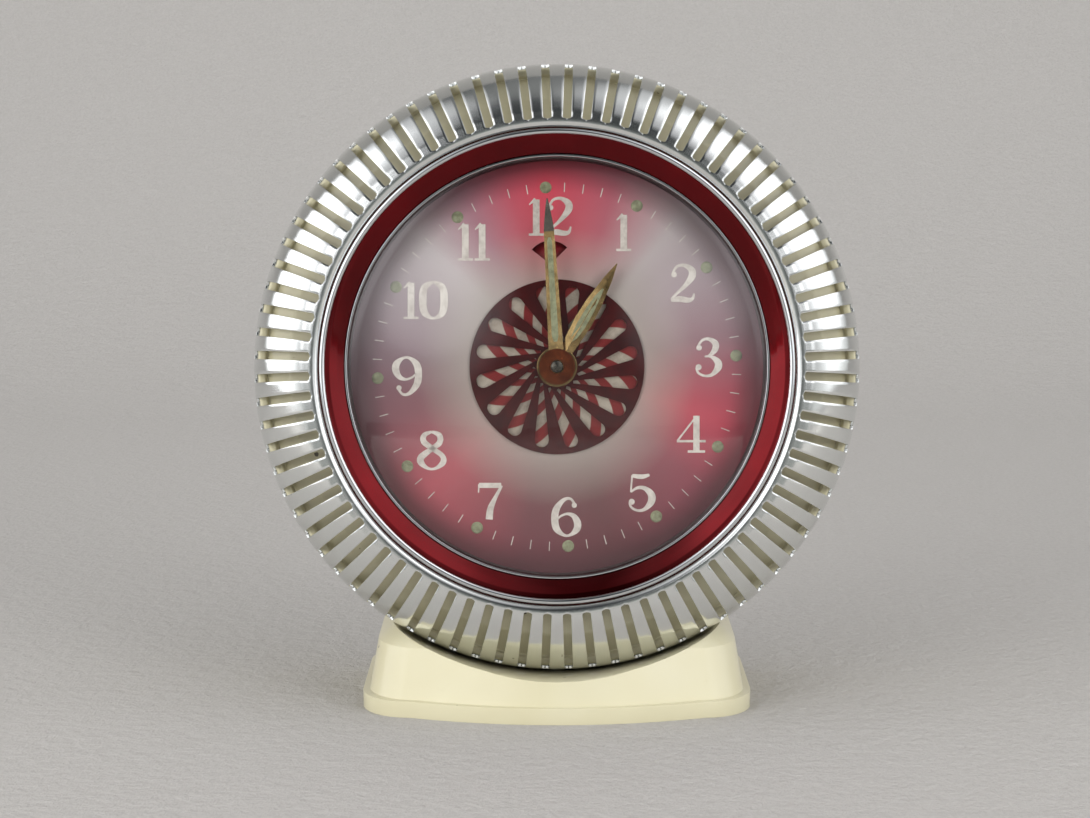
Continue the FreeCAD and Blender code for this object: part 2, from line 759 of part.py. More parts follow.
def saddleSpace(margin):
    start = Vector(0, baseFront - 20, saddleHeight + saddleRadius)
    return Part.makeCylinder(saddleRadius + margin, baseDepth + 40, start, Vector(0, 1, 0))


def baseShell():
    outer = fused([planSolid(0.0, 0.0, flangeHeight, baseCorner),
                   slantedSolid(flangeStep, shoulderInset, flangeHeight, shoulderHeight,
                                baseCorner),
                   slantedSolid(shoulderInset, roofInset, shoulderHeight, roofHeight,
                                baseCorner)])
    outer = outer.cut(saddleSpace(0.0)).cut(drumSpace(restingGap))
    roofFoot = shoulderHeight - baseWall
    inner = fused([slantedSolid(flangeStep + baseWall, shoulderInset + baseWall, -1.0, roofFoot,
                                baseCorner - baseWall),
                   slantedSolid(shoulderInset + baseWall, roofInset + baseWall, roofFoot,
                                roofHeight - baseWall, baseCorner - baseWall)])
    inner = inner.cut(saddleSpace(baseWall)).cut(drumSpace(restingGap + baseWall))
    shell = outer.cut(inner)
    holes = [saddleHole(depth, -5, 20) for depth in saddleScrewDepths]
    return shell.cut(Part.makeCompound(holes))


def saddleHole(depth, bottom, top):
    return Part.makeCylinder(saddleScrewRadius + 0.1, top - bottom, Vector(0, depth, bottom))


def basePlate():
    return planSolid(flangeStep + baseWall + 1.4, 0.8, 1.6, baseCorner - 3.0)


def baseFelt():
    return planSolid(flangeStep + baseWall + 1.4, 0.0, 0.8, baseCorner - 3.0)


def drumUnderside(depth):
    """Height of the drum's lowest line, that far back."""
    lean = math.radians(leanDegrees)
    along = (depth - dialCentreDepth + drumRadius * math.sin(lean)) / math.cos(lean)
    return dialCentreHeight - along * math.sin(lean) - drumRadius * math.cos(lean)


def saddleScrews():
    """Two screws up through the saddle and the drum, each with its nut."""
    screws = []
    for depth in saddleScrewDepths:
        headTop = drumUnderside(depth + saddleHeadRadius) - baseWall - 2 * restingGap
        nutBottom = drumUnderside(depth - saddleHeadRadius) + drumSheet + 2 * restingGap
        head = Part.makeCylinder(saddleHeadRadius, 1.4, Vector(0, depth, headTop - 1.4))
        shank = Part.makeCylinder(saddleScrewRadius, nutBottom - headTop + 2.6,
                                  Vector(0, depth, headTop - 0.4))
        nut = Part.makeCylinder(saddleHeadRadius, 1.6, Vector(0, depth, nutBottom))
        screws.append(fused([head, shank, nut]))
    return Part.makeCompound(screws)


def placed(shape):
    """Leans the clock back and sets it above its base."""
    moved = shape.copy()
    moved.rotate(Vector(0, 0, 0), Vector(1, 0, 0), -leanDegrees)
    moved.translate(Vector(0, dialCentreDepth, dialCentreHeight))
    return moved


rimCut = [saddleHole(depth, -5, 20) for depth in saddleScrewDepths]

clockParts = {
    "slotted_bezel": slottedBezel, "chrome_bead": chromeBead, "red_ring": redRing,
    "crystal_lip": crystalLip, "crystal": crystal, "dial_spacer": dialSpacer,
    "dial_plate": dialPlate, "hour_dots": hourDots, "pinwheel_mask": pinwheelMask,
    "front_plate": frontPlate, "back_plate": backPlate, "movement_pillars": pillars,
    "pillar_nuts": pillarNuts, "dial_pillars": dialPillars, "hairspring": hairspring,
    "balance_cock": balanceCock, "bell": bell, "bell_post": bellPost, "back_cover": backCover,
    "cover_screws": coverScrews, "minute_wheel_stud": minuteWheelStud,
    "minute_hand": minuteHand, "hub_cap": hubCap, "centre_wheel": centreWheel,
    "time_set_knob": timeSetKnob, "hour_hand": hourHand, "hour_wheel": hourWheel,
    "minute_wheel": minuteWheel, "pinwheel_disc": pinwheelDisc, "great_wheel": greatWheel,
    "third_wheel": thirdWheel, "fourth_wheel": fourthWheel, "escape_wheel": escapeWheel,
    "pallet_fork": palletFork, "balance_wheel": balanceWheel,
    "alarm_great_wheel": alarmGreatWheel, "alarm_second_wheel": alarmSecondWheel,
    "alarm_hammer": alarmHammer, "alarm_disc": alarmDisc, "alarm_set_arbor": alarmSetArbor,
    "alarm_set_knob": alarmSetKnob, "alarm_stop": alarmStop, "regulator_lever": regulatorLever,
    "time_mainspring": lambda: mainspring(timeKey),
    "alarm_mainspring": lambda: mainspring(alarmKey),
    "time_spring_post": lambda: springPost(timeKey, 1),
    "alarm_spring_post": lambda: springPost(alarmKey, -1),
    "time_arbor": lambda: windingArbor(timeKey),
    "alarm_arbor": lambda: windingArbor(alarmKey),
    "time_key": lambda: windingKey(timeKey),
    "alarm_key": lambda: windingKey(alarmKey),
}
baseParts = {
    "base_shell": baseShell, "base_plate": basePlate, "base_felt": baseFelt,
    "saddle_screws": saddleScrews,
}

os.makedirs("parts", exist_ok=True)
for name, maker in clockParts.items():
    placed(maker()).exportStep("parts/" + name + ".step")
placed(caseShell()).cut(Part.makeCompound(rimCut)).exportStep("parts/case_shell.step")
for name, maker in baseParts.items():
    maker().exportStep("parts/" + name + ".step")
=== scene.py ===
import bpy
import bmesh
import json
import math
from mathutils import Matrix, Vector


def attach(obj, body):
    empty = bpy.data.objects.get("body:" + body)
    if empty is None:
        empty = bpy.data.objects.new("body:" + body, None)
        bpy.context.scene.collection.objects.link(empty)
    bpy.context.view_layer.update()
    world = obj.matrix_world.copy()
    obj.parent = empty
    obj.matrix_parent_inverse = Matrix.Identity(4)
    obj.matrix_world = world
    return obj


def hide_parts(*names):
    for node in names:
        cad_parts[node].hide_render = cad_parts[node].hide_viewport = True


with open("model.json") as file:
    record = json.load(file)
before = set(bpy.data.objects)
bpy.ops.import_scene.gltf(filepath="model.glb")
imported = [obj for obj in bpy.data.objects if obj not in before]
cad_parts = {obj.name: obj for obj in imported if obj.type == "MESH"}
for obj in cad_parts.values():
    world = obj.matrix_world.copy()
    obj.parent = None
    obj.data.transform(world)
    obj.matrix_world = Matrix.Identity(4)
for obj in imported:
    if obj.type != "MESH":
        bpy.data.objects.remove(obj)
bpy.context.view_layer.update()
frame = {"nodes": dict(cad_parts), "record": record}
print("frame loaded")

# The clock's own axes: x to the right, y backwards along the arbors, z up the dial.
# Every clock piece is made in millimetres there and put in place by clockPlace.
minuteJoint = [joint for joint in frame["record"]["behaviour"]["joints"]
               if joint["name"] == "minute_turn"][0]
setterJoint = [joint for joint in frame["record"]["behaviour"]["joints"]
               if joint["name"] == "alarm_setting_turn"][0]
axisBack = Vector(minuteJoint["axis"]).normalized()
axisUp = Vector((1, 0, 0)).cross(axisBack)
axisDepth = 10.0      # how far behind the bezel's front the minute joint is given
clockOrigin = Vector(minuteJoint["pos_m"]) - axisBack * axisDepth * 0.001
clockPlace = Matrix(((0.001, axisBack.x * 0.001, axisUp.x * 0.001, clockOrigin.x),
                     (0, axisBack.y * 0.001, axisUp.y * 0.001, clockOrigin.y),
                     (0, axisBack.z * 0.001, axisUp.z * 0.001, clockOrigin.z),
                     (0, 0, 0, 1)))
clockInverse = clockPlace.inverted()


# ---- colours and node helpers

def linear(hexColour):
    # sRGB hex to the linear colour that the shaders take
    channels = [int(hexColour[i:i + 2], 16) / 255 for i in (1, 3, 5)]
    curve = [c / 12.92 if c <= 0.04045 else ((c + 0.055) / 1.055) ** 2.4 for c in channels]
    return (*curve, 1.0)


def addNode(tree, kind, settings=None, links=None):
    # one node, its settings by attribute or socket name, its links by socket
    node = tree.nodes.new(kind)
    for key, value in (settings or {}).items():
        if isinstance(key, str) and hasattr(node, key) and key not in node.inputs:
            setattr(node, key, value)
        else:
            node.inputs[key].default_value = value
    for key, source in (links or {}).items():
        tree.links.new(source, node.inputs[key])
    return node


def newMaterial(name, **settings):
    material = bpy.data.materials.new(name)
    material.use_nodes = True
    shader = material.node_tree.nodes["Principled BSDF"]
    for key, value in settings.items():
        socket = key.replace("_", " ")
        if isinstance(value, str):
            value = linear(value)
        shader.inputs[socket].default_value = value
    return material, material.node_tree, shader


def ramp(tree, source, stops, mode="LINEAR"):
    node = addNode(tree, "ShaderNodeValToRGB", links={"Fac": source})
    node.color_ramp.interpolation = mode
    elements = node.color_ramp.elements
    while len(elements) < len(stops):
        elements.new(0.5)
    for element, (place, colour) in zip(elements, stops):
        element.position = place
        element.color = linear(colour) if isinstance(colour, str) else (colour,) * 3 + (1,)
    return node.outputs["Color"]


def math2(tree, operation, first, second=None, third=None):
    node = addNode(tree, "ShaderNodeMath", {"operation": operation})
    for index, value in enumerate((first, second, third)):
        if value is None:
            continue
        if isinstance(value, (int, float)):
            node.inputs[index].default_value = value
        else:
            tree.links.new(value, node.inputs[index])
    return node.outputs[0]


def objectPoint(tree):
    return addNode(tree, "ShaderNodeTexCoord").outputs["Object"]


def noise(tree, point, scale, detail=4.0, roughness=0.6):
    return addNode(tree, "ShaderNodeTexNoise",
                   {"Scale": scale, "Detail": detail, "Roughness": roughness},
                   {"Vector": point}).outputs["Fac"]


def addBump(tree, shader, height, distance, strength=1.0):
    bump = addNode(tree, "ShaderNodeBump", {"Distance": distance, "Strength": strength},
                   {"Height": height})
    tree.links.new(bump.outputs["Normal"], shader.inputs["Normal"])


def mixColour(tree, factor, first, second, blend="MIX"):
    node = addNode(tree, "ShaderNodeMix", {"data_type": "RGBA", "blend_type": blend})
    for index, value in ((0, factor), (6, first), (7, second)):
        if isinstance(value, (int, float)):
            node.inputs[index].default_value = value
        elif isinstance(value, str):
            node.inputs[index].default_value = linear(value)
        elif isinstance(value, list):
            node.inputs[index].default_value = value
        else:
            tree.links.new(value, node.inputs[index])
    return node.outputs[2]


def facePolar(tree, centre=(0.0, 0.0)):
    # radius in millimetres and angle in turns, read from the piece's face map
    uv = addNode(tree, "ShaderNodeUVMap", {"uv_map": "faceMap"}).outputs["UV"]
    split = addNode(tree, "ShaderNodeSeparateXYZ", links={"Vector": uv})
    x = math2(tree, "SUBTRACT", math2(tree, "MULTIPLY", split.outputs["X"], 100.0), centre[0])
    z = math2(tree, "SUBTRACT", math2(tree, "MULTIPLY", split.outputs["Y"], 100.0), centre[1])
    radius = math2(tree, "SQRT", math2(tree, "ADD", math2(tree, "MULTIPLY", x, x),
                                       math2(tree, "MULTIPLY", z, z)))
    angle = math2(tree, "DIVIDE", math2(tree, "ARCTAN2", x, z), 2 * math.pi)
    return radius, angle


# ---- materials

def creamEnamel():
    # stoving enamel on pressed steel: a thick glossy cream coat with faint orange peel,
    # a little uneven yellowing and grime in random patches
    material, tree, shader = newMaterial("creamEnamel", Roughness=0.28, Coat_Weight=0.35,
                                         Coat_Roughness=0.12)
    point = objectPoint(tree)
    broad = noise(tree, point, 28.0, 3.0)
    colour = ramp(tree, broad, [(0.3, "#BFB898"), (0.55, "#C5BFA1"), (0.8, "#C9C4AB")])
    dirt = ramp(tree, noise(tree, point, 160.0, 8.0, 0.75), [(0.58, 0.0), (0.78, 1.0)])
    colour = mixColour(tree, math2(tree, "MULTIPLY", dirt, 0.22), colour, "#A89C74")
    chips = ramp(tree, noise(tree, point, 420.0, 2.0, 0.5), [(0.755, 0.0), (0.765, 1.0)])
    colour = mixColour(tree, chips, colour, "#4A4436")
    tree.links.new(colour, shader.inputs["Base Color"])
    addBump(tree, shader, noise(tree, point, 900.0, 2.0), 0.00003, 0.35)
    return material


def polishedAluminium():
    # spun and buffed aluminium: a clear mirror with fine turning marks and a few scratches
    material, tree, shader = newMaterial("polishedAluminium", Base_Color="#ECEEEC", Metallic=1.0)
    radius, angle = facePolar(tree)
    lines = addNode(tree, "ShaderNodeCombineXYZ",
                    links={"X": math2(tree, "MULTIPLY", radius, 9.0),
                           "Y": math2(tree, "MULTIPLY", angle, 3.0)}).outputs[0]
    turning = noise(tree, lines, 3.0, 3.0, 0.6)
    wipe = noise(tree, objectPoint(tree), 45.0, 3.0)
    rough = math2(tree, "ADD", math2(tree, "MULTIPLY", turning, 0.05),
                  math2(tree, "MULTIPLY", wipe, 0.10))
    tree.links.new(math2(tree, "ADD", rough, 0.055), shader.inputs["Roughness"])
    addBump(tree, shader, turning, 0.000012, 0.35)
    return material


def chromePlate():
    # bright chromium over brass: nearly a perfect mirror
    material, tree, shader = newMaterial("chromePlate", Base_Color="#E2E4E6", Metallic=1.0)
    wear = noise(tree, objectPoint(tree), 120.0, 4.0)
    tree.links.new(math2(tree, "MULTIPLY_ADD", wear, 0.08, 0.04), shader.inputs["Roughness"])
    return material


def redLacquer():
    # bright chrome under a thin clear coat, its deep red colour a painted reflection of red
    # surroundings: mirror-like, with thin dusty patches
    material, tree, shader = newMaterial("redLacquer", Metallic=1.0, Coat_Weight=0.25,
                                         Coat_Roughness=0.06)
    point = objectPoint(tree)
    # painted reflection: these two deep reds stand in for red surroundings mirrored in the chrome
    colour = ramp(tree, noise(tree, point, 60.0, 4.0), [(0.3, "#59070C"), (0.7, "#700B12")])
    tree.links.new(colour, shader.inputs["Base Color"])
    dust = noise(tree, point, 240.0, 6.0, 0.7)
    tree.links.new(math2(tree, "MULTIPLY_ADD", dust, 0.16, 0.08), shader.inputs["Roughness"])
    return material


def clearCrystal():
    # domed clear acrylic: see-through, with a Fresnel gloss
    material = bpy.data.materials.new("clearCrystal")
    material.use_nodes = True
    tree = material.node_tree
    tree.nodes.remove(tree.nodes["Principled BSDF"])
    output = tree.nodes["Material Output"]
    clear = addNode(tree, "ShaderNodeBsdfTransparent", {"Color": linear("#FBFCFA")})
    haze = noise(tree, objectPoint(tree), 70.0, 5.0)
    gloss = addNode(tree, "ShaderNodeBsdfGlossy", {"Color": linear("#FFFFFF")},
                    {"Roughness": math2(tree, "MULTIPLY_ADD", haze, 0.05, 0.01)})
    edge = addNode(tree, "ShaderNodeFresnel", {"IOR": 1.7})
    side = addNode(tree, "ShaderNodeNewGeometry")
    front = math2(tree, "SUBTRACT", 1.0, side.outputs["Backfacing"])   # gloss on outer faces only
    mix = addNode(tree, "ShaderNodeMixShader", links={
        0: math2(tree, "MULTIPLY", edge.outputs[0], front), 1: clear.outputs[0],
        2: gloss.outputs[0]})
    tree.links.new(mix.outputs[0], output.inputs["Surface"])
    return material


# colours by share of a turn from twelve, clockwise; the pale lilac-grey stops near 0.12 to 0.17 and 0.83
# to 0.88 are painted highlights of the brushed rays
dialTintAndPaintedSheen = {"turn": -3.6, "rimRadius": 38.0, "innerRadius": 16.1,
             "sectors": [(0.0, "#CE3C54"), (0.06, "#AE5468"), (0.12, "#B3A6AC"),
                         (0.17, "#95808A"), (0.23, "#7C4858"), (0.31, "#BC3C54"),
                         (0.37, "#86364A"), (0.46, "#5C2430"), (0.54, "#682C3A"),
                         (0.64, "#AC4858"), (0.71, "#824A58"), (0.77, "#745462"),
                         (0.83, "#94828C"), (0.88, "#B8ACB2"), (0.93, "#A87486"),
                         (0.97, "#BE4A60"), (1.0, "#CE3C54")]}


def dialLacquer():
    # brushed metal under tinted lacquer: three rosy and three mauve sectors that run into
    # each other over a silver grey middle, darker towards the rim; the silver grey and the pale
    # lilac grey at 1 to 2 and 10 to 11 o'clock are painted reflections of the brushed rays' sheen
    material, tree, shader = newMaterial("dialLacquer", Metallic=0.2, Roughness=0.38)
    radius, angle = facePolar(tree)
    turned = math2(tree, "ADD", angle, 1.0 - dialTintAndPaintedSheen["turn"] / 360.0)
    sectors = ramp(tree, math2(tree, "FRACT", turned), dialTintAndPaintedSheen["sectors"])
    share = addNode(tree, "ShaderNodeMapRange",
                    {"From Min": dialTintAndPaintedSheen["innerRadius"], "From Max": dialTintAndPaintedSheen["rimRadius"]},
                    {"Value": radius}).outputs[0]
    # painted reflection: the silver grey that fills the middle stands in for the brushed rays' sheen
    silver = ramp(tree, share, [(0.0, 0.8), (0.2, 0.5), (0.45, 0.12), (1.0, 0.0)])
    colour = mixColour(tree, silver, sectors, "#A89E9A")
    dark = ramp(tree, share, [(0.74, 0.0), (0.95, 0.65)])
    colour = mixColour(tree, dark, colour, "#45262C")
    point = objectPoint(tree)
    lines = addNode(tree, "ShaderNodeCombineXYZ",
                    links={"X": math2(tree, "MULTIPLY", radius, 6.0),
                           "Y": math2(tree, "MULTIPLY", angle, 30.0)}).outputs[0]
    brush = noise(tree, lines, 2.5, 4.0, 0.7)
    # the pale streaks along the rays are partly brushed grain and partly painted sheen
    colour = mixColour(tree, math2(tree, "MULTIPLY", brush, 0.35), colour, "#D9CFC8", "SOFT_LIGHT")
    tree.links.new(colour, shader.inputs["Base Color"])
    tree.links.new(math2(tree, "MULTIPLY_ADD", brush, 0.25, 0.25), shader.inputs["Roughness"])
    addBump(tree, shader, noise(tree, point, 220.0, 3.0), 0.00001, 0.08)
    return material


def dialInk():
    # pale cream printing ink, slightly raised and worn
    material, tree, shader = newMaterial("dialInk", Roughness=0.55)
    colour = ramp(tree, noise(tree, objectPoint(tree), 500.0, 5.0, 0.7),
                  [(0.3, "#A89C98"), (0.6, "#CDC4C0")])
    tree.links.new(colour, shader.inputs["Base Color"])
    return material


def lumePaint():
    # aged luminous paint: greenish beige, grainy and browned
    material, tree, shader = newMaterial("lumePaint", Roughness=0.8)
    point = objectPoint(tree)
    colour = ramp(tree, noise(tree, point, 900.0, 6.0, 0.75),
                  [(0.3, "#5E5C48"), (0.55, "#86876E"), (0.75, "#A2A38A")])
    tree.links.new(colour, shader.inputs["Base Color"])
    addBump(tree, shader, noise(tree, point, 2500.0, 4.0), 0.00005, 0.6)
    return material


def rosetteRed():
    # transparent dark red lacquer on stamped metal
    material, tree, shader = newMaterial("rosetteRed", Metallic=0.6, Roughness=0.3,
                                         Coat_Weight=0.4, Coat_Roughness=0.15)
    colour = ramp(tree, noise(tree, objectPoint(tree), 260.0, 5.0, 0.7),
                  [(0.3, "#3A060B"), (0.7, "#58090F")])
    tree.links.new(colour, shader.inputs["Base Color"])
    return material


alarmPaint = {"lines": 90}


def alarmDiscPaint():
    # dark red disc with fine darker lines that run out from its middle
    setterLocal = clockInverse @ Vector(setterJoint["pos_m"])
    material, tree, shader = newMaterial("alarmDiscPaint", Metallic=0.3, Roughness=0.4)
    radius, angle = facePolar(tree, (setterLocal.x, setterLocal.z))
    wave = math2(tree, "SINE", math2(tree, "MULTIPLY", angle, alarmPaint["lines"] * 2 * math.pi))
    colour = ramp(tree, math2(tree, "MULTIPLY_ADD", wave, 0.5, 0.5),
                  [(0.0, "#2E080C"), (0.5, "#7A1620"), (1.0, "#8E1B24")])
    tree.links.new(colour, shader.inputs["Base Color"])
    return material


discPaint = {"stripes": 15, "lean": -0.0095}


def pinwheelPaint():
    # silvered disc with red stripes that lean the other way from the slots in front
    material, tree, shader = newMaterial("pinwheelPaint", Metallic=0.5, Roughness=0.35)
    radius, angle = facePolar(tree)
    swirl = math2(tree, "MULTIPLY_ADD", radius, discPaint["lean"], angle)
    wave = math2(tree, "SINE", math2(tree, "MULTIPLY", swirl,
                                     discPaint["stripes"] * 2 * math.pi))
    stripe = ramp(tree, math2(tree, "MULTIPLY_ADD", wave, 0.5, 0.5), [(0.50, 0.0), (0.62, 1.0)])
    silver = ramp(tree, noise(tree, objectPoint(tree), 300.0, 5.0, 0.7),
                  [(0.3, "#A08E84"), (0.7, "#CDBFB4")])
    colour = mixColour(tree, stripe, silver, "#8A2A2C")
    tree.links.new(colour, shader.inputs["Base Color"])
    return material


def plainMetal(name, low, high, rough, scale=180.0, comment=None):
    material, tree, shader = newMaterial(name, Metallic=1.0)
    cloud = noise(tree, objectPoint(tree), scale, 6.0, 0.7)
    colour = ramp(tree, cloud, [(0.3, low), (0.7, high)])
    tree.links.new(colour, shader.inputs["Base Color"])
    tree.links.new(math2(tree, "MULTIPLY_ADD", cloud, 0.25, rough), shader.inputs["Roughness"])
    return material


def darkPaint():
    # matt dark maroon on the ring between the dial and the crystal; its darkness is painted shade for
    # the shadow in the recess
    material, tree, shader = newMaterial("darkPaint", Roughness=0.6)
    # painted shade: these near-black maroons stand in for the shadow in the recess
    colour = ramp(tree, noise(tree, objectPoint(tree), 300.0, 5.0), [(0.3, "#1F0E10"),
                                                                     (0.7, "#33181B")])
    tree.links.new(colour, shader.inputs["Base Color"])
    return material


def greenFelt():
    # pressed wool felt under the base: short fibres, no gloss
    material, tree, shader = newMaterial("greenFelt", Roughness=0.95, Sheen_Weight=0.4)
    fibre = noise(tree, objectPoint(tree), 1800.0, 6.0, 0.8)
    tree.links.new(ramp(tree, fibre, [(0.3, "#1F3326"), (0.7, "#345040")]),
                   shader.inputs["Base Color"])
    addBump(tree, shader, fibre, 0.0002, 0.8)
    return material


finishes = {
    "cream_enamel": creamEnamel(), "polished_aluminium": polishedAluminium(),
    "chrome": chromePlate(), "red_lacquer": redLacquer(), "crystal": clearCrystal(),
    "dark_paint": darkPaint(), "dial_lacquer": dialLacquer(), "lume": lumePaint(),
    "rosette_red": rosetteRed(), "disc_silver": pinwheelPaint(),
    # drawn brass, dulled and warm
    "brass": plainMetal("oldBrass", "#9C7A3C", "#C9A861", 0.22),
    # bright carbon steel with light tarnish
    "steel": plainMetal("tarnishedSteel", "#8E8D88", "#B8B8B4", 0.2),
    # zinc-plated steel sheet: bluish grey with a faint spangle
    "zinc_steel": plainMetal("zincPlate", "#8D918F", "#B4B7B1", 0.28, 90.0),
    # gilt and burnished hands
    "hand_gilt": plainMetal("giltHand", "#6E5A3A", "#C9A877", 0.08, 260.0),
    # copper washer with warm tarnish
    "copper": plainMetal("copperWasher", "#8A3D22", "#C4683C", 0.12, 300.0),
    "felt": greenFelt(),
}
# dark polished pin
darkSteel = plainMetal("darkSteelPin", "#4A4642", "#6E6862", 0.12, 500.0)
alarmFinish = alarmDiscPaint()
inkFinish = dialInk()
print("materials made")


# ---- mesh helpers

def addFaceMap(mesh):
    # the piece's own map: its place on the clock's face, 100 mm to one unit
    layer = mesh.uv_layers.new(name="faceMap")
    for loop in mesh.loops:
        local = clockInverse @ mesh.vertices[loop.vertex_index].co
        layer.data[loop.index].uv = (local.x / 100, local.z / 100)


def finishMesh(mesh, smoothAngle=35.0):
    shape = bmesh.new()
    shape.from_mesh(mesh)
    bmesh.ops.remove_doubles(shape, verts=shape.verts, dist=1e-7)
    bmesh.ops.recalc_face_normals(shape, faces=shape.faces)
    shape.to_mesh(mesh)
    shape.free()
    for polygon in mesh.polygons:
        polygon.use_smooth = True
    mesh.set_sharp_from_angle(angle=math.radians(smoothAngle))


def makePiece(name, mesh, finish, body, replaced=(), smoothAngle=35.0):
    finishMesh(mesh, smoothAngle)
    addFaceMap(mesh)
    mesh.materials.clear()
    mesh.materials.append(finish)
    mesh.name = name
    piece = bpy.data.objects.new(name, mesh)
    bpy.context.scene.collection.objects.link(piece)
    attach(piece, body)
    if replaced:
        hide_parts(*replaced)
    return piece


def meshFrom(vertices, faces, placed=True):
    mesh = bpy.data.meshes.new("mesh")
    mesh.from_pydata(vertices, [], faces)
    mesh.update()
    if placed:
        mesh.transform(clockPlace)
    return mesh


def lathe(points, segments=256, closed=True):
    # points are radius and depth in millimetres, turned about the clock's axis
    vertices = []
    for index in range(segments):
        turn = 2 * math.pi * index / segments
        vertices += [(r * math.sin(turn), depth, r * math.cos(turn)) for r, depth in points]
    count = len(points)
    faces = []
    for index in range(segments):
        here = index * count
        there = (index + 1) % segments * count
        for step in range(count if closed else count - 1):
            after = (step + 1) % count
            faces.append((here + step, here + after, there + after, there + step))
    return meshFrom(vertices, faces)


def rounded(points, radius=0.3, steps=4):
    # the same closed outline with its corners rounded
    result = []
    count = len(points)
    for index in range(count):
        corner = Vector(points[index])
        before = Vector(points[index - 1]) - corner
        after = Vector(points[(index + 1) % count]) - corner
        reach = min(radius, before.length * 0.45, after.length * 0.45)
        start = corner + before.normalized() * reach
        end = corner + after.normalized() * reach
        for step in range(steps + 1):
            share = step / steps
            place = start.lerp(corner, share).lerp(corner.lerp(end, share), share)
            result.append(tuple(place))
    return result


def smoothLine(points, steps=6):
    # a Catmull-Rom curve through the given points, of any number of values
    result = []
    last = len(points) - 1
    for index in range(last):
        p0 = points[max(index - 1, 0)]
        p1, p2 = points[index], points[index + 1]
        p3 = points[min(index + 2, last)]
        for step in range(steps):
            t = step / steps
            result.append(tuple(0.5 * (2 * b + (c - a) * t + (2 * a - 5 * b + 4 * c - d) * t * t
                                       + (3 * b - a - 3 * c + d) * t ** 3)
                                for a, b, c, d in zip(p0, p1, p2, p3)))
    result.append(tuple(points[-1]))
    return result


def extrudeOutline(outline, front, back):
    # a flat plate from an outline of x and z, between two depths
    shape = bmesh.new()
    ring = [shape.verts.new((x, front, z)) for x, z in outline]
    face = shape.faces.new(ring)
    made = bmesh.ops.extrude_face_region(shape, geom=[face])
    for item in made["geom"]:
        if isinstance(item, bmesh.types.BMVert):
            item.co.y = back
    bmesh.ops.recalc_face_normals(shape, faces=shape.faces)
    mesh = bpy.data.meshes.new("plate")
    shape.to_mesh(mesh)
    shape.free()
    return mesh


def joinMeshes(meshes):
    shape = bmesh.new()
    for mesh in meshes:
        shape.from_mesh(mesh)
    joined = bpy.data.meshes.new("joined")
    shape.to_mesh(joined)
    shape.free()
    return joined


def applyModifiers(mesh, modifiers):
    # modifiers are (kind, settings); the result is a plain mesh
    carrier = bpy.data.objects.new("carrier", mesh)
    bpy.context.scene.collection.objects.link(carrier)
    for kind, settings in modifiers:
        modifier = carrier.modifiers.new(kind, kind)
        for key, value in settings.items():
            setattr(modifier, key, value)
    evaluated = carrier.evaluated_get(bpy.context.evaluated_depsgraph_get())
    result = bpy.data.meshes.new_from_object(evaluated)
    bpy.data.objects.remove(carrier)
    return result


def ringTree(name):
    # copies of the carried mesh set evenly round the clock's axis
    tree = bpy.data.node_groups.new(name, "GeometryNodeTree")
    face = tree.interface
    face.new_socket("Geometry", in_out="INPUT", socket_type="NodeSocketGeometry")
    count = face.new_socket("Count", in_out="INPUT", socket_type="NodeSocketInt")
    skip = face.new_socket("Leave Out Every", in_out="INPUT", socket_type="NodeSocketInt")
    turn = face.new_socket("Start Turn", in_out="INPUT", socket_type="NodeSocketFloat")
    finish = face.new_socket("Finish", in_out="INPUT", socket_type="NodeSocketMaterial")
    face.new_socket("Geometry", in_out="OUTPUT", socket_type="NodeSocketGeometry")
    given = addNode(tree, "NodeGroupInput")
    points = addNode(tree, "GeometryNodePoints", links={"Count": given.outputs["Count"]})
    index = addNode(tree, "GeometryNodeInputIndex")
    modulo = addNode(tree, "ShaderNodeMath", {"operation": "MODULO"},
                     {0: index.outputs[0], 1: given.outputs["Leave Out Every"]})
    isFirst = addNode(tree, "FunctionNodeCompare", {"data_type": "FLOAT", "operation": "EQUAL"},
                      {0: modulo.outputs[0]})
    wanted = addNode(tree, "ShaderNodeMath", {"operation": "GREATER_THAN", 1: 0.5},
                     {0: given.outputs["Leave Out Every"]})
    both = addNode(tree, "FunctionNodeBooleanMath", {"operation": "AND"},
                   {0: isFirst.outputs[0], 1: wanted.outputs[0]})
    kept = addNode(tree, "GeometryNodeDeleteGeometry", {"domain": "POINT"},
                   {"Geometry": points.outputs[0], "Selection": both.outputs[0]})
    number = addNode(tree, "GeometryNodeInputIndex")
    store = addNode(tree, "GeometryNodeStoreNamedAttribute",
                    {"data_type": "INT", "domain": "POINT", "Name": "place"},
                    {"Geometry": points.outputs[0], "Value": number.outputs[0]})
    tree.links.new(store.outputs[0], kept.inputs["Geometry"])
    place = addNode(tree, "GeometryNodeInputNamedAttribute",
                    {"data_type": "INT", "Name": "place"})
    share = addNode(tree, "ShaderNodeMath", {"operation": "DIVIDE"},
                    {0: place.outputs[0], 1: given.outputs["Count"]})
    angle = addNode(tree, "ShaderNodeMath", {"operation": "MULTIPLY_ADD", 1: 2 * math.pi},
                    {0: share.outputs[0], 2: given.outputs["Start Turn"]})
    spin = addNode(tree, "ShaderNodeCombineXYZ", links={"Y": angle.outputs[0]})
    copies = addNode(tree, "GeometryNodeInstanceOnPoints",
                     links={"Points": kept.outputs[0], "Instance": given.outputs["Geometry"],
                            "Rotation": spin.outputs[0]})
    real = addNode(tree, "GeometryNodeRealizeInstances", links={"Geometry": copies.outputs[0]})
    merged = addNode(tree, "GeometryNodeMergeByDistance", {"Distance": 0.002},
                     {"Geometry": real.outputs[0]})
    painted = addNode(tree, "GeometryNodeSetMaterial",
                      links={"Geometry": merged.outputs[0], "Material": given.outputs["Finish"]})
    addNode(tree, "NodeGroupOutput", links={"Geometry": painted.outputs[0]})
    return tree, (count, skip, turn, finish)


ringNodes, ringSockets = ringTree("ringOfCopies")


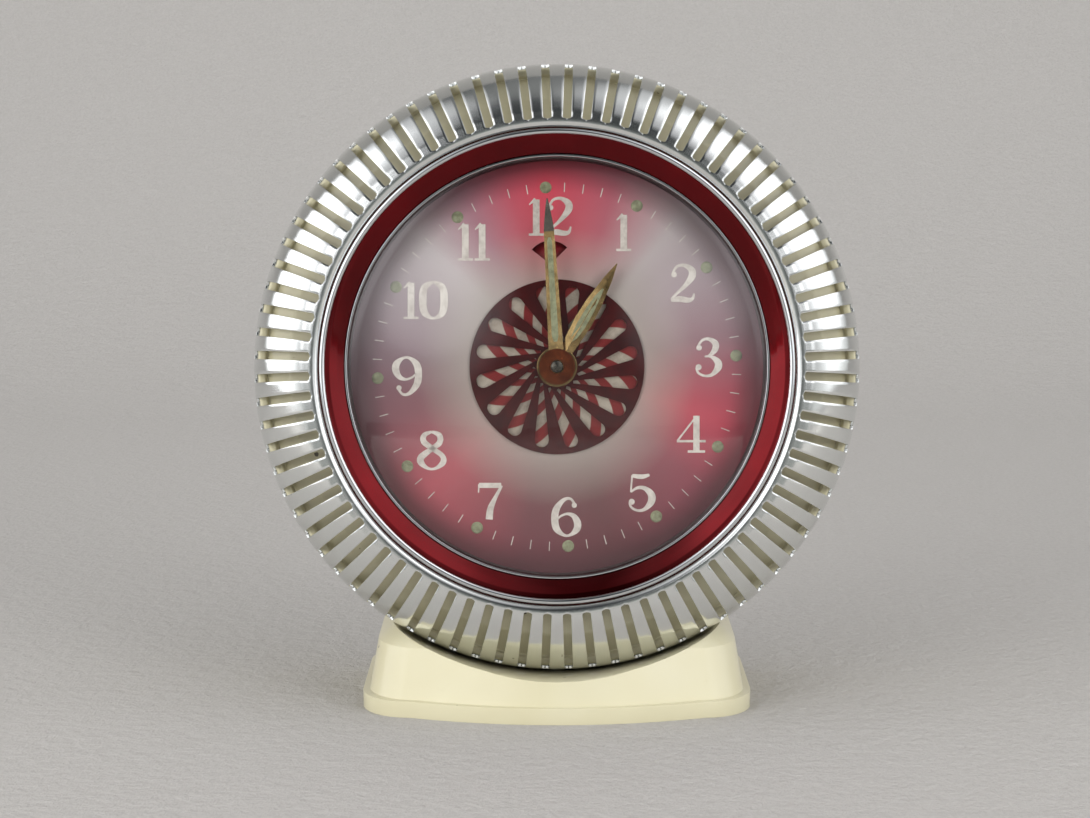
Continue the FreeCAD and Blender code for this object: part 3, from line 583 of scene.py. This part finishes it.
def ringOf(mesh, count, finish, skip=0, turnDegrees=0.0, modifiers=()):
    # runs the tree on a mesh in clock millimetres and returns the whole ring there
    carrier = bpy.data.objects.new("carrier", mesh)
    bpy.context.scene.collection.objects.link(carrier)
    modifier = carrier.modifiers.new("ring", "NODES")
    modifier.node_group = ringNodes
    values = (count, skip, math.radians(turnDegrees), finish)
    for socket, value in zip(ringSockets, values):
        modifier[socket.identifier] = value
    for kind, settings in modifiers:
        extra = carrier.modifiers.new(kind, kind)
        for key, value in settings.items():
            setattr(extra, key, value)
    evaluated = carrier.evaluated_get(bpy.context.evaluated_depsgraph_get())
    result = bpy.data.meshes.new_from_object(evaluated)
    bpy.data.objects.remove(carrier)
    return result


# ---- CAD nodes keep their shape and get their finish

for node in frame["record"]["subparts"]:
    cadNode = frame["nodes"][node["node"]]
    cadNode.data.materials.clear()
    cadNode.data.materials.append(finishes[node["material_slot"]])
print("CAD nodes painted")


# ---- slotted bezel: 80 bars pressed from one sheet

bezel = {"bars": 80, "slotWidth": 1.5, "slotStart": 44.7, "slotEndDepth": 12.3,
         "sheet": 0.62, "edge": 0.09, "tipRound": 0.32, "tipRows": (0.001, 0.04, 0.12, 0.32),
         "shares": (-1.0, -0.55, 0.0, 0.55, 1.0),
         "profile": [(43.01, 1.15), (43.2, 0.62), (43.6, 0.25), (44.2, 0.04), (45.4, 0.1),
                     (46.8, 0.3), (49.2, 1.2), (51.4, 2.7), (53.3, 4.6), (54.7, 6.8),
                     (55.55, 9.0), (55.93, 11.0), (56.0, 11.6), (56.0, 13.2), (56.0, 14.9)]}


def withRows(rows, column, values):
    # the profile with a row added wherever its radius or depth passes one of the values
    made = []
    for before, after in zip(rows, rows[1:]):
        made.append(before)
        for value in sorted(values):
            if before[column] < value < after[column]:
                share = (value - before[column]) / (after[column] - before[column])
                made.append(tuple(a + (b - a) * share for a, b in zip(before, after)))
    return made + [rows[-1]]


def bezelSector():
    rows = [tuple(row) for row in smoothLine(bezel["profile"], 3)]
    rows = withRows(rows, 0, [bezel["slotStart"] + step for step in bezel["tipRows"]])
    rows = withRows(rows, 1, [bezel["slotEndDepth"] - step for step in bezel["tipRows"]])
    halfPitch = math.pi / bezel["bars"]
    vertices, faces = [], []
    for r, depth in rows:
        into = min(r - bezel["slotStart"], bezel["slotEndDepth"] - depth)
        half = 0.0
        if into > 0:
            near = min(into / bezel["tipRound"], 1.0)
            half = bezel["slotWidth"] / 2 * math.sqrt(1 - (1 - near) ** 2)
        for share in bezel["shares"]:
            turn = (halfPitch - math.asin(half / r)) * share
            vertices.append((r * math.sin(turn), depth, r * math.cos(turn)))
    width = len(bezel["shares"])
    for row in range(len(rows) - 1):
        for column in range(width - 1):
            here = row * width + column
            faces.append((here, here + 1, here + width + 1, here + width))
    return meshFrom(vertices, faces, placed=False)


bezelMesh = ringOf(bezelSector(), bezel["bars"], finishes["polished_aluminium"],
                   modifiers=[("SOLIDIFY", {"thickness": bezel["sheet"], "offset": -1.0,
                                            "use_even_offset": True}),
                              ("BEVEL", {"width": bezel["edge"], "segments": 2,
                                         "limit_method": "ANGLE",
                                         "angle_limit": math.radians(40)})])
bezelMesh.transform(clockPlace)
makePiece("bezelRing", bezelMesh, finishes["polished_aluminium"], "case",
          ("slotted_bezel",), 40.0)
print("bezel made")


# ---- rings between the bezel and the crystal

rings = {"bead": 0.5, "beadCircle": 42.45, "beadDepth": 0.35,
         "red": [(41.95, 0.95), (41.15, 1.25), (39.95, 2.15), (38.67, 3.3), (38.67, 3.75),
                 (41.55, 1.75), (42.35, 1.75), (42.35, 5.4), (42.9, 5.4), (42.9, 0.95)],
         "lip": [(38.17, 3.2), (38.57, 3.2), (38.63, 3.85), (40.05, 3.87), (40.05, 4.05),
                 (38.17, 4.05)]}
beadOutline = [(rings["beadCircle"] + rings["bead"] * math.cos(turn),
                rings["beadDepth"] + rings["bead"] * math.sin(turn))
               for turn in [2 * math.pi * step / 20 for step in range(20)]]
makePiece("chromeBead", lathe(beadOutline), finishes["chrome"], "case", ("chrome_bead",))
makePiece("redRing", lathe(rounded(rings["red"], 0.15)), finishes["red_lacquer"], "case",
          ("red_ring",))
makePiece("crystalLip", lathe(rounded(rings["lip"], 0.1)), finishes["chrome"], "case",
          ("crystal_lip",))


# ---- crystal

dome = {"radius": 37.95, "rise": 4.6, "seat": 4.1, "sheet": 1.5, "rim": 39.8}


def crystalOutline():
    sphere = (dome["radius"] ** 2 + dome["rise"] ** 2) / (2 * dome["rise"])
    middle = dome["seat"] - dome["rise"] + sphere
    outside = []
    inside = []
    for step in range(21):
        r = dome["radius"] * step / 20
        outside.append((r, middle - math.sqrt(sphere ** 2 - r ** 2)))
        inner = sphere - dome["sheet"]
        inside.append((r * 0.97, middle - math.sqrt(inner ** 2 - (r * 0.97) ** 2)))
    rim = [(dome["rim"], dome["seat"]), (dome["rim"], dome["seat"] + dome["sheet"])]
    return outside + rim + inside[::-1]


makePiece("crystalDome", lathe(crystalOutline(), 192), finishes["crystal"], "case",
          ("crystal",), 30.0)
print("rings and crystal made")


# ---- case drum and back cover

drum = {"outline": [(43.3, 5.6), (49.0, 6.8), (53.55, 11.4), (53.75, 10.3), (55.2, 10.3),
                    (55.2, 17.4), (54.0, 18.7), (54.0, 30.0), (53.4, 33.2), (51.9, 35.8),
                    (49.6, 37.4), (47.6, 38.0), (44.0, 38.0), (44.0, 37.2), (47.4, 37.2),
                    (49.2, 36.7), (51.3, 35.2), (52.6, 32.9), (53.2, 30.0), (53.2, 18.2),
                    (53.2, 12.2), (49.0, 7.7), (43.3, 6.4)]}
makePiece("drumShell", lathe(rounded(drum["outline"], 0.6, 5), 256), finishes["cream_enamel"],
          "case", ("case_shell",), 50.0)


# ---- base: pressed cream saddle with softened edges

baseEdge = {"softness": 0.00055, "segments": 3, "angle": 24.0}
baseCopy = frame["nodes"]["base_shell"].data.copy()
shape = bmesh.new()
shape.from_mesh(baseCopy)
bmesh.ops.remove_doubles(shape, verts=shape.verts, dist=1e-6)
bmesh.ops.dissolve_limit(shape, angle_limit=math.radians(3), verts=shape.verts, edges=shape.edges)
shape.to_mesh(baseCopy)
shape.free()
baseMesh = applyModifiers(baseCopy, [("BEVEL", {"width": baseEdge["softness"],
                                                "segments": baseEdge["segments"],
                                                "limit_method": "ANGLE",
                                                "use_clamp_overlap": True,
                                                "angle_limit": math.radians(baseEdge["angle"])})])
makePiece("saddleBase", baseMesh, finishes["cream_enamel"], "case",
          ("base_shell",), 40.0)
print("case and base made")


# ---- dial

dial = {"front": 9.8, "sheet": 0.5, "radius": 42.5, "hole": 15.4, "windowArc": 4.4,
        "windowHalf": 48.0, "turn": -3.6, "apex": 18.9}
dialNode = frame["nodes"]["dial_plate"]
dialMesh = dialNode.data.copy()
makePiece("dialPlate", dialMesh, finishes["dial_lacquer"], "case",
          ("dial_plate",), 30.0)
discMesh = frame["nodes"]["pinwheel_disc"].data.copy()
makePiece("pinwheelDisc", discMesh, finishes["disc_silver"], "pinwheel",
          ("pinwheel_disc",), 30.0)
alarmMesh = frame["nodes"]["alarm_disc"].data.copy()
makePiece("alarmIndicator", alarmMesh, alarmFinish, "alarm_setting",
          ("alarm_disc",), 30.0)

digitStrokes = {
    "0": [[(0, 9.9, .3), (1.9, 8.4, .8), (2.3, 5, .9), (1.9, 1.6, .8), (0, 0.1, .3),
           (-1.9, 1.6, .8), (-2.3, 5, .9), (-1.9, 8.4, .8), (0, 9.9, .3)]],
    "1": [[(0, 0.3, .8), (0, 9.6, .8)], [(-1.9, 8.2, .12), (-0.2, 9.7, .45)],
          [(-2.0, 0.25, .28), (2.0, 0.25, .28)]],
    "2": [[(-2.1, 7.6, .25), (-1.2, 9.5, .3), (0.4, 9.9, .4), (2.0, 8.7, .8), (2.1, 6.9, .85),
           (0.6, 4.4, .5), (-1.2, 2.3, .3), (-2.3, 0.9, .25)],
          [(-2.4, 0.7, .5), (-0.5, 0.9, .7), (1.2, 0.6, .6), (2.2, 1.0, .4), (2.6, 2.4, .15)]],
    "3": [[(-2.0, 7.8, .25), (-1.0, 9.6, .3), (0.4, 9.9, .4), (1.8, 8.8, .75), (1.7, 7.0, .7),
           (0.5, 5.5, .3), (-0.5, 5.25, .2)],
          [(-0.5, 5.25, .2), (0.9, 5.2, .35), (2.3, 3.9, .8), (2.4, 2.3, .85), (1.2, 0.5, .45),
           (-0.3, 0.05, .3), (-1.8, 0.8, .28), (-2.3, 2.2, .25)]],
    "4": [[(0.9, 0.3, .75), (0.9, 9.8, .75)], [(0.9, 9.7, .2), (-2.6, 3.1, .22)],
          [(-2.7, 3.0, .28), (2.6, 3.0, .28)], [(-0.7, 0.25, .28), (2.5, 0.25, .28)]],
    "5": [[(-1.7, 9.4, .4), (0.3, 9.1, .55), (2.0, 9.6, .3)], [(-1.7, 9.5, .2), (-2.0, 5.0, .2)],
          [(-2.0, 5.0, .2), (-0.6, 6.1, .35), (1.0, 6.0, .5), (2.4, 4.4, .85), (2.4, 2.4, .85),
           (1.1, 0.5, .45), (-0.4, 0.05, .3), (-1.8, 0.8, .28), (-2.3, 2.1, .25)]],
    "6": [[(1.9, 8.2, .3), (0.9, 9.8, .3), (-0.6, 9.5, .45), (-2.1, 7.2, .8), (-2.5, 4.6, .85),
           (-2.1, 1.8, .8), (-0.5, 0.1, .35), (0.9, 0.2, .35), (2.2, 1.6, .8), (2.4, 3.4, .85),
           (1.6, 5.2, .6), (0.2, 5.8, .3), (-1.2, 5.2, .25), (-2.0, 4.2, .2)]],
    "7": [[(-2.4, 9.3, .6), (2.4, 9.3, .6)], [(-2.4, 9.6, .2), (-2.5, 7.4, .15)],
          [(2.5, 9.2, .3), (1.2, 6.2, .45), (0.1, 3.2, .75), (-0.2, 0.2, .85)]],
    "8": [[(0, 9.9, .3), (1.6, 9.0, .65), (1.7, 7.0, .7), (0, 5.3, .6), (-2.2, 3.2, .8),
           (-2.3, 1.6, .75), (-0.8, 0.1, .35), (0.8, 0.1, .35), (2.4, 1.6, .7), (2.3, 3.4, .6),
           (0.4, 5.2, .6), (-1.7, 7.2, .7), (-1.6, 9.0, .6), (0, 9.9, .3)]],
}
digitStrokes["9"] = [[(-x, 10 - z, w) for x, z, w in digitStrokes["6"][0]]]
digitBalls = {"2": [(-1.75, 7.45, .75)], "3": [(-1.7, 7.6, .75), (-1.8, 2.4, .8)],
              "5": [(-1.8, 2.4, .8)], "6": [(1.7, 8.1, .7)], "9": [(-1.7, 1.9, .7)]}
numerals = {"height": 6.9, "circle": 27.7, "ink": 0.05, "gap": 6.0, "narrowGap": 4.5, "bold": 1.12,
            "width": {"1": 1.0, "4": 1.45}, "usualWidth": 1.24}


def strokeMeshes(stroke, shift, scale, centre, layer, wide):
    line = smoothLine(stroke, 5) if len(stroke) > 2 else stroke
    left, right = [], []
    for index, (x, z, half) in enumerate(line):
        before = line[max(index - 1, 0)]
        after = line[min(index + 1, len(line) - 1)]
        along = Vector((after[0] - before[0], after[1] - before[1])).normalized()
        side = Vector((-along.y, along.x)) * half * numerals["bold"]
        for place, sign in ((left, 1), (right, -1)):
            place.append((centre[0] + (x * wide + shift + sign * side.x) * scale,
                          centre[1] + (z - 5 + sign * side.y) * scale))
    front = dial["front"] - numerals["ink"] - layer * 0.004
    vertices = [(x, front, z) for x, z in left + right]
    vertices += [(x, dial["front"] - 0.005, z) for x, z in left + right]
    count = len(line)
    faces = []
    for index in range(count - 1):
        a, b = index, index + 1
        c, d = count + index + 1, count + index
        faces.append((a, b, c, d))
        faces.append((a + 2 * count, d + 2 * count, c + 2 * count, b + 2 * count))
        faces.append((a, a + 2 * count, b + 2 * count, b))
        faces.append((d, c, c + 2 * count, d + 2 * count))
    faces.append((0, count, 3 * count, 2 * count))
    faces.append((count - 1, 3 * count - 1, 4 * count - 1, 2 * count - 1))
    return meshFrom(vertices, faces)


def numeralMesh(text, hour):
    turn = math.radians(30.0 * hour + dial["turn"])
    centre = (numerals["circle"] * math.sin(turn), numerals["circle"] * math.cos(turn))
    scale = numerals["height"] / 10
    spacing = numerals["narrowGap"] if text == "11" else numerals["gap"]
    made = []
    for place, digit in enumerate(text):
        wide = numerals["width"].get(digit, numerals["usualWidth"])
        shift = (place - (len(text) - 1) / 2) * spacing
        for layer, stroke in enumerate(digitStrokes[digit]):
            made.append(strokeMeshes(stroke, shift, scale, centre, layer, wide))
        for x, z, radius in digitBalls.get(digit, ()):
            ball = [(centre[0] + (x * wide + shift + radius * math.cos(2 * math.pi * step / 16)) * scale,
                     centre[1] + (z - 5 + radius * math.sin(2 * math.pi * step / 16)) * scale)
                    for step in range(16)]
            plate = extrudeOutline(ball, dial["front"] - numerals["ink"] - 0.014,
                                   dial["front"] - 0.005)
            plate.transform(clockPlace)
            made.append(plate)
    return made


numeralParts = []
for hour in range(1, 13):
    numeralParts += numeralMesh(str(hour), hour)
makePiece("dialNumerals", joinMeshes(numeralParts), inkFinish, "case")

ticks = {"circle": 33.1, "length": 1.7, "width": 0.16, "height": 0.05}
tickOutline = [(-ticks["width"] / 2, ticks["circle"] - ticks["length"] / 2),
               (ticks["width"] / 2, ticks["circle"] - ticks["length"] / 2),
               (ticks["width"] / 2, ticks["circle"] + ticks["length"] / 2),
               (-ticks["width"] / 2, ticks["circle"] + ticks["length"] / 2)]
tick = extrudeOutline(tickOutline, dial["front"] - ticks["height"], dial["front"] - 0.005)
tickRing = ringOf(tick, 60, inkFinish, 5, dial["turn"])
tickRing.transform(clockPlace)
makePiece("minuteTicks", tickRing, inkFinish, "case")

dots = {"circle": 33.1, "radius": 1.1, "height": 0.22}
dotVertices = [(0, dial["front"] - dots["height"], dots["circle"])]
dotFaces = []
dotRings = [(0.35, 0.98), (0.7, 0.85), (0.92, 0.5), (1.0, 0.02)]
for share, height in dotRings:
    for step in range(20):
        turn = 2 * math.pi * step / 20
        dotVertices.append((dots["radius"] * share * math.sin(turn),
                            dial["front"] - dots["height"] * height,
                            dots["circle"] + dots["radius"] * share * math.cos(turn)))
for step in range(20):
    dotFaces.append((0, 1 + (step + 1) % 20, 1 + step))
    for ring in range(3):
        a, b = 1 + ring * 20 + step, 1 + ring * 20 + (step + 1) % 20
        dotFaces.append((a, b, b + 20, a + 20))
dotFaces.append([1 + 60 + step for step in range(20)])
dotRing = ringOf(meshFrom(dotVertices, dotFaces, placed=False), 12, finishes["lume"], 0,
                 dial["turn"])
dotRing.transform(clockPlace)
makePiece("hourDots", dotRing, finishes["lume"], "case", ("hour_dots",), 60.0)
print("dial made")


# ---- winding keys: a socket with two rounded wings

wingKey = {"socket": [(2.02, 42.0), (3.4, 42.0), (3.4, 49.0), (0.0, 49.0), (0.0, 44.1),
                      (2.02, 44.1)],
           "wing": [(1.5, -1.0), (8.0, -5.4), (12.4, -3.2), (12.4, 3.2), (8.0, 5.4), (1.5, 1.0)],
           "front": 46.8, "back": 48.2, "round": 3.4, "edge": 0.3}


def windingKey(jointName):
    joint = [item for item in frame["record"]["behaviour"]["joints"]
             if item["name"] == jointName][0]
    middle = clockInverse @ Vector(joint["pos_m"])
    shift = Matrix.Translation(Vector((middle.x, 0, middle.z)))
    wings = []
    for side in (-1, 1):
        outline = [(x * side, z) for x, z in rounded(wingKey["wing"], wingKey["round"], 6)]
        wing = extrudeOutline(outline, wingKey["front"], wingKey["back"])
        wing = applyModifiers(wing, [("BEVEL", {"width": wingKey["edge"], "segments": 2,
                                                "limit_method": "ANGLE",
                                                "angle_limit": math.radians(50)})])
        wing.transform(clockPlace @ shift)
        wings.append(wing)
    socket = lathe(rounded(wingKey["socket"], 0.25), 48)
    socket.transform(clockPlace @ shift @ clockInverse)
    return joinMeshes(wings + [socket])


makePiece("timeWingKey", windingKey("time_winding"), finishes["brass"], "time_winder",
          ("time_key",), 35.0)
makePiece("alarmWingKey", windingKey("alarm_winding"), finishes["brass"], "alarm_winder",
          ("alarm_key",), 35.0)
print("keys made")


# ---- hands with their luminous strips

hands = {"minute": {"length": 31.3, "root": 1.35, "shoulder": 0.95, "tip": 6.3, "front": 6.2,
                    "angle": -3.4, "strip": (7.0, 24.6), "hub": 3.3},
         "hour": {"length": 22.3, "front": 7.6, "angle": 30.2, "strip": (6.0, 17.0)},
         "sheet": 0.4, "lumeProud": 0.06}


def handPiece(outline, ridge, angle, front, thickness):
    # a blade with a raised middle line: left edge, crown and right edge rows
    rows = len(outline)
    vertices, faces = [], []
    for half, z in outline:
        crown = min(ridge, half * 0.35)
        vertices += [(-half, front + thickness, z), (-half, front + thickness * 0.45, z),
                     (0, front + thickness * 0.45 - crown, z), (half, front + thickness * 0.45, z),
                     (half, front + thickness, z)]
    for row in range(rows - 1):
        for column in range(5):
            a = row * 5 + column
            b = row * 5 + (column + 1) % 5
            faces.append((a, b, b + 5, a + 5))
    faces.append((4, 3, 2, 1, 0))
    last = (rows - 1) * 5
    faces.append((last, last + 1, last + 2, last + 3, last + 4))
    mesh = meshFrom(vertices, faces, placed=False)
    mesh.transform(Matrix.Rotation(math.radians(angle), 4, "Y"))
    mesh.transform(clockPlace)
    return mesh


def washer(outer, inner, front, back, bevel=0.12):
    return lathe(rounded([(inner, front), (outer, front), (outer, back), (inner, back)], bevel),
                 96)


minuteOutline = [(1.0, 1.6), (1.35, 3.4), (1.28, 8.0), (0.95, 24.6), (0.75, 26.6), (0.3, 29.7),
                 (0.08, 30.8)]
minuteMesh = joinMeshes([handPiece(minuteOutline, 0.25, -3.4, 6.2, 0.4),
                         washer(3.3, 1.22, 6.2, 6.6)])
makePiece("minuteHand", minuteMesh, finishes["hand_gilt"], "minute",
          ("minute_hand",), 20.0)
minuteTip = [(0.98, 24.8), (0.79, 26.6), (0.34, 29.7), (0.11, 30.84)]
makePiece("minuteTip", handPiece(minuteTip, 0.27, -3.4, 6.17, 0.4), darkSteel, "minute",
          (), 20.0)
minuteStrip = [(0.3, 4.6), (0.62, 5.6), (0.45, 23.0), (0.1, 24.0)]
makePiece("minuteLume", handPiece(minuteStrip, 0.1, -3.4, 5.96, 0.5), finishes["lume"], "minute",
          (), 50.0)
hourOutline = [(1.1, 2.0), (1.15, 3.2), (1.4, 5.5), (1.7, 9.5), (1.5, 13.5), (0.8, 18.7),
               (0.08, 21.9)]
hourMesh = joinMeshes([handPiece(hourOutline, 0.3, 30.2, 7.6, 0.4), washer(3.7, 2.22, 7.6, 8.0)])
makePiece("hourHand", hourMesh, finishes["hand_gilt"], "hour", ("hour_hand",), 20.0)
hourStrip = [(0.4, 5.2), (0.85, 8.6), (0.8, 12.2), (0.3, 16.6)]
makePiece("hourLume", handPiece(hourStrip, 0.1, 30.2, 7.36, 0.5), finishes["lume"], "hour",
          (), 50.0)
pin = [(0.0, 4.45), (0.5, 4.5), (0.9, 4.65), (1.16, 4.85), (1.24, 5.1), (1.24, 5.6), (0.0, 5.6)]
makePiece("centrePin", lathe(pin, 48), darkSteel, "minute", (), 60.0)
print("hands made")


# ---- studio: a pale sweep, two soft boxes and a dark ceiling to the front

studio = {"floor": "#B6B3AE", "sweepBack": 0.9, "sweepUp": 1.6, "half": 2.5}


def studioPaint():
    # pale grey paper, a little grainy
    material, tree, shader = newMaterial("studioPaper", Roughness=0.9)
    grain = noise(tree, objectPoint(tree), 900.0, 5.0, 0.8)
    colour = ramp(tree, grain, [(0.3, "#A5A29E"), (0.7, "#B2AFAB")])
    tree.links.new(colour, shader.inputs["Base Color"])
    lumps = noise(tree, objectPoint(tree), 260.0, 6.0, 0.7)
    addBump(tree, shader, lumps, 0.0012, 0.8)
    return material


sweep = [(-2.2, 0.0), (0.35, 0.0)]
sweep += [(0.35 + 0.5 * math.sin(math.radians(step)), 0.5 - 0.5 * math.cos(math.radians(step)))
          for step in range(6, 91, 6)]
sweep.append((0.85, 2.4))
sweepVertices = [(x, y, z) for y, z in sweep for x in (-studio["half"], studio["half"])]
sweepFaces = [(i * 2, i * 2 + 1, i * 2 + 3, i * 2 + 2) for i in range(len(sweep) - 1)]
floorMesh = bpy.data.meshes.new("studioSweep")
floorMesh.from_pydata(sweepVertices, [], sweepFaces)
for polygon in floorMesh.polygons:
    polygon.use_smooth = True
floorMesh.materials.append(studioPaint())
floor = bpy.data.objects.new("studioSweep", floorMesh)
bpy.context.scene.collection.objects.link(floor)


def softBox(name, place, target, width, height, power, colour="#FFFFFF"):
    light = bpy.data.lights.new(name, "AREA")
    light.shape = "RECTANGLE"
    light.size = width
    light.size_y = height
    light.energy = power
    light.color = linear(colour)[:3]
    lamp = bpy.data.objects.new(name, light)
    lamp.location = place
    lamp.rotation_euler = (Vector(target) - Vector(place)).to_track_quat("-Z", "Y").to_euler()
    lamp.visible_glossy = False
    bpy.context.scene.collection.objects.link(lamp)
    return lamp


clockMiddle = (0.0, 0.0, 0.06)
softBox("leftBox", (-0.6, -0.62, 0.26), clockMiddle, 0.5, 0.4, 4.6)
softBox("rightBox", (0.6, -0.6, 0.3), clockMiddle, 0.45, 0.4, 3.8)
softBox("topBox", (0.0, 0.25, 0.9), clockMiddle, 0.8, 0.5, 2.0)

# the room's air: dim ahead, with a broad soft glow on either side, seen by direction
air = {"strength": 1.0, "dim": "#6E7170", "above": "#7E7F7F",
       # direction, power, and the cosines where the glow starts, swells and is full
       "glows": [((-0.896, -0.259, 0.362), 1.8, (0.56, 0.76, 0.92)),
                 ((0.791, -0.259, 0.554), 1.5, (0.56, 0.76, 0.92)),
                 ((-0.331, -0.896, 0.295), 1.7, (0.968, 0.984, 0.996)),
                 ((0.377, -0.886, 0.27), 1.2, (0.972, 0.986, 0.997))]}
world = bpy.data.worlds.new("studioAir")
bpy.context.scene.world = world
world.use_nodes = True
airTree = world.node_tree
airWay = addNode(airTree, "ShaderNodeTexCoord").outputs["Generated"]
airHeight = addNode(airTree, "ShaderNodeSeparateXYZ", links={"Vector": airWay}).outputs["Z"]
airColour = ramp(airTree, airHeight, [(0.0, "#A4A7A4"), (0.12, air["dim"]), (0.4, "#303334"),
                                      (0.8, "#3A3C3E"), (1.0, air["above"])])
for way, power, edges in air["glows"]:
    dot = addNode(airTree, "ShaderNodeVectorMath", {"operation": "DOT_PRODUCT", 1: way},
                  {0: airWay})
    glow = ramp(airTree, dot.outputs["Value"], list(zip(edges, (0.0, 0.3, 1.0))), "EASE")
    bright = mixColour(airTree, 1.0, glow, [power, power, power * 1.03, 1.0], "MULTIPLY")
    airColour = mixColour(airTree, 1.0, airColour, bright, "ADD")
airTree.links.new(airColour, airTree.nodes["Background"].inputs["Color"])
airTree.nodes["Background"].inputs["Strength"].default_value = air["strength"]


# ---- camera

view = {"elevation": 8.0, "distance": 0.43, "scale": 5.55, "offset": (12.2, 42.6),
        "frame": (1090, 818), "turn": 0.0}
ringCentre = clockPlace @ Vector((0, 0, 0))
tilt = math.radians(view["elevation"])
lookAlong = Vector((0, math.cos(tilt), -math.sin(tilt)))
cameraUp = Vector((0, math.sin(tilt), math.cos(tilt)))
aim = (ringCentre - Vector((1, 0, 0)) * view["offset"][0] / view["scale"] * 0.001
       - cameraUp * view["offset"][1] / view["scale"] * 0.001)
cameraData = bpy.data.cameras.new("studioCamera")
cameraData.sensor_width = 36.0
cameraData.lens = view["scale"] * view["distance"] * 1000 / view["frame"][0] * 36.0
cameraData.clip_start = 0.01
camera = bpy.data.objects.new("studioCamera", cameraData)
camera.location = aim - lookAlong * view["distance"]
camera.rotation_euler = lookAlong.to_track_quat("-Z", "Y").to_euler()
bpy.context.scene.collection.objects.link(camera)
bpy.context.scene.camera = camera
bpy.context.scene.view_settings.view_transform = "Standard"

print("scene ready")
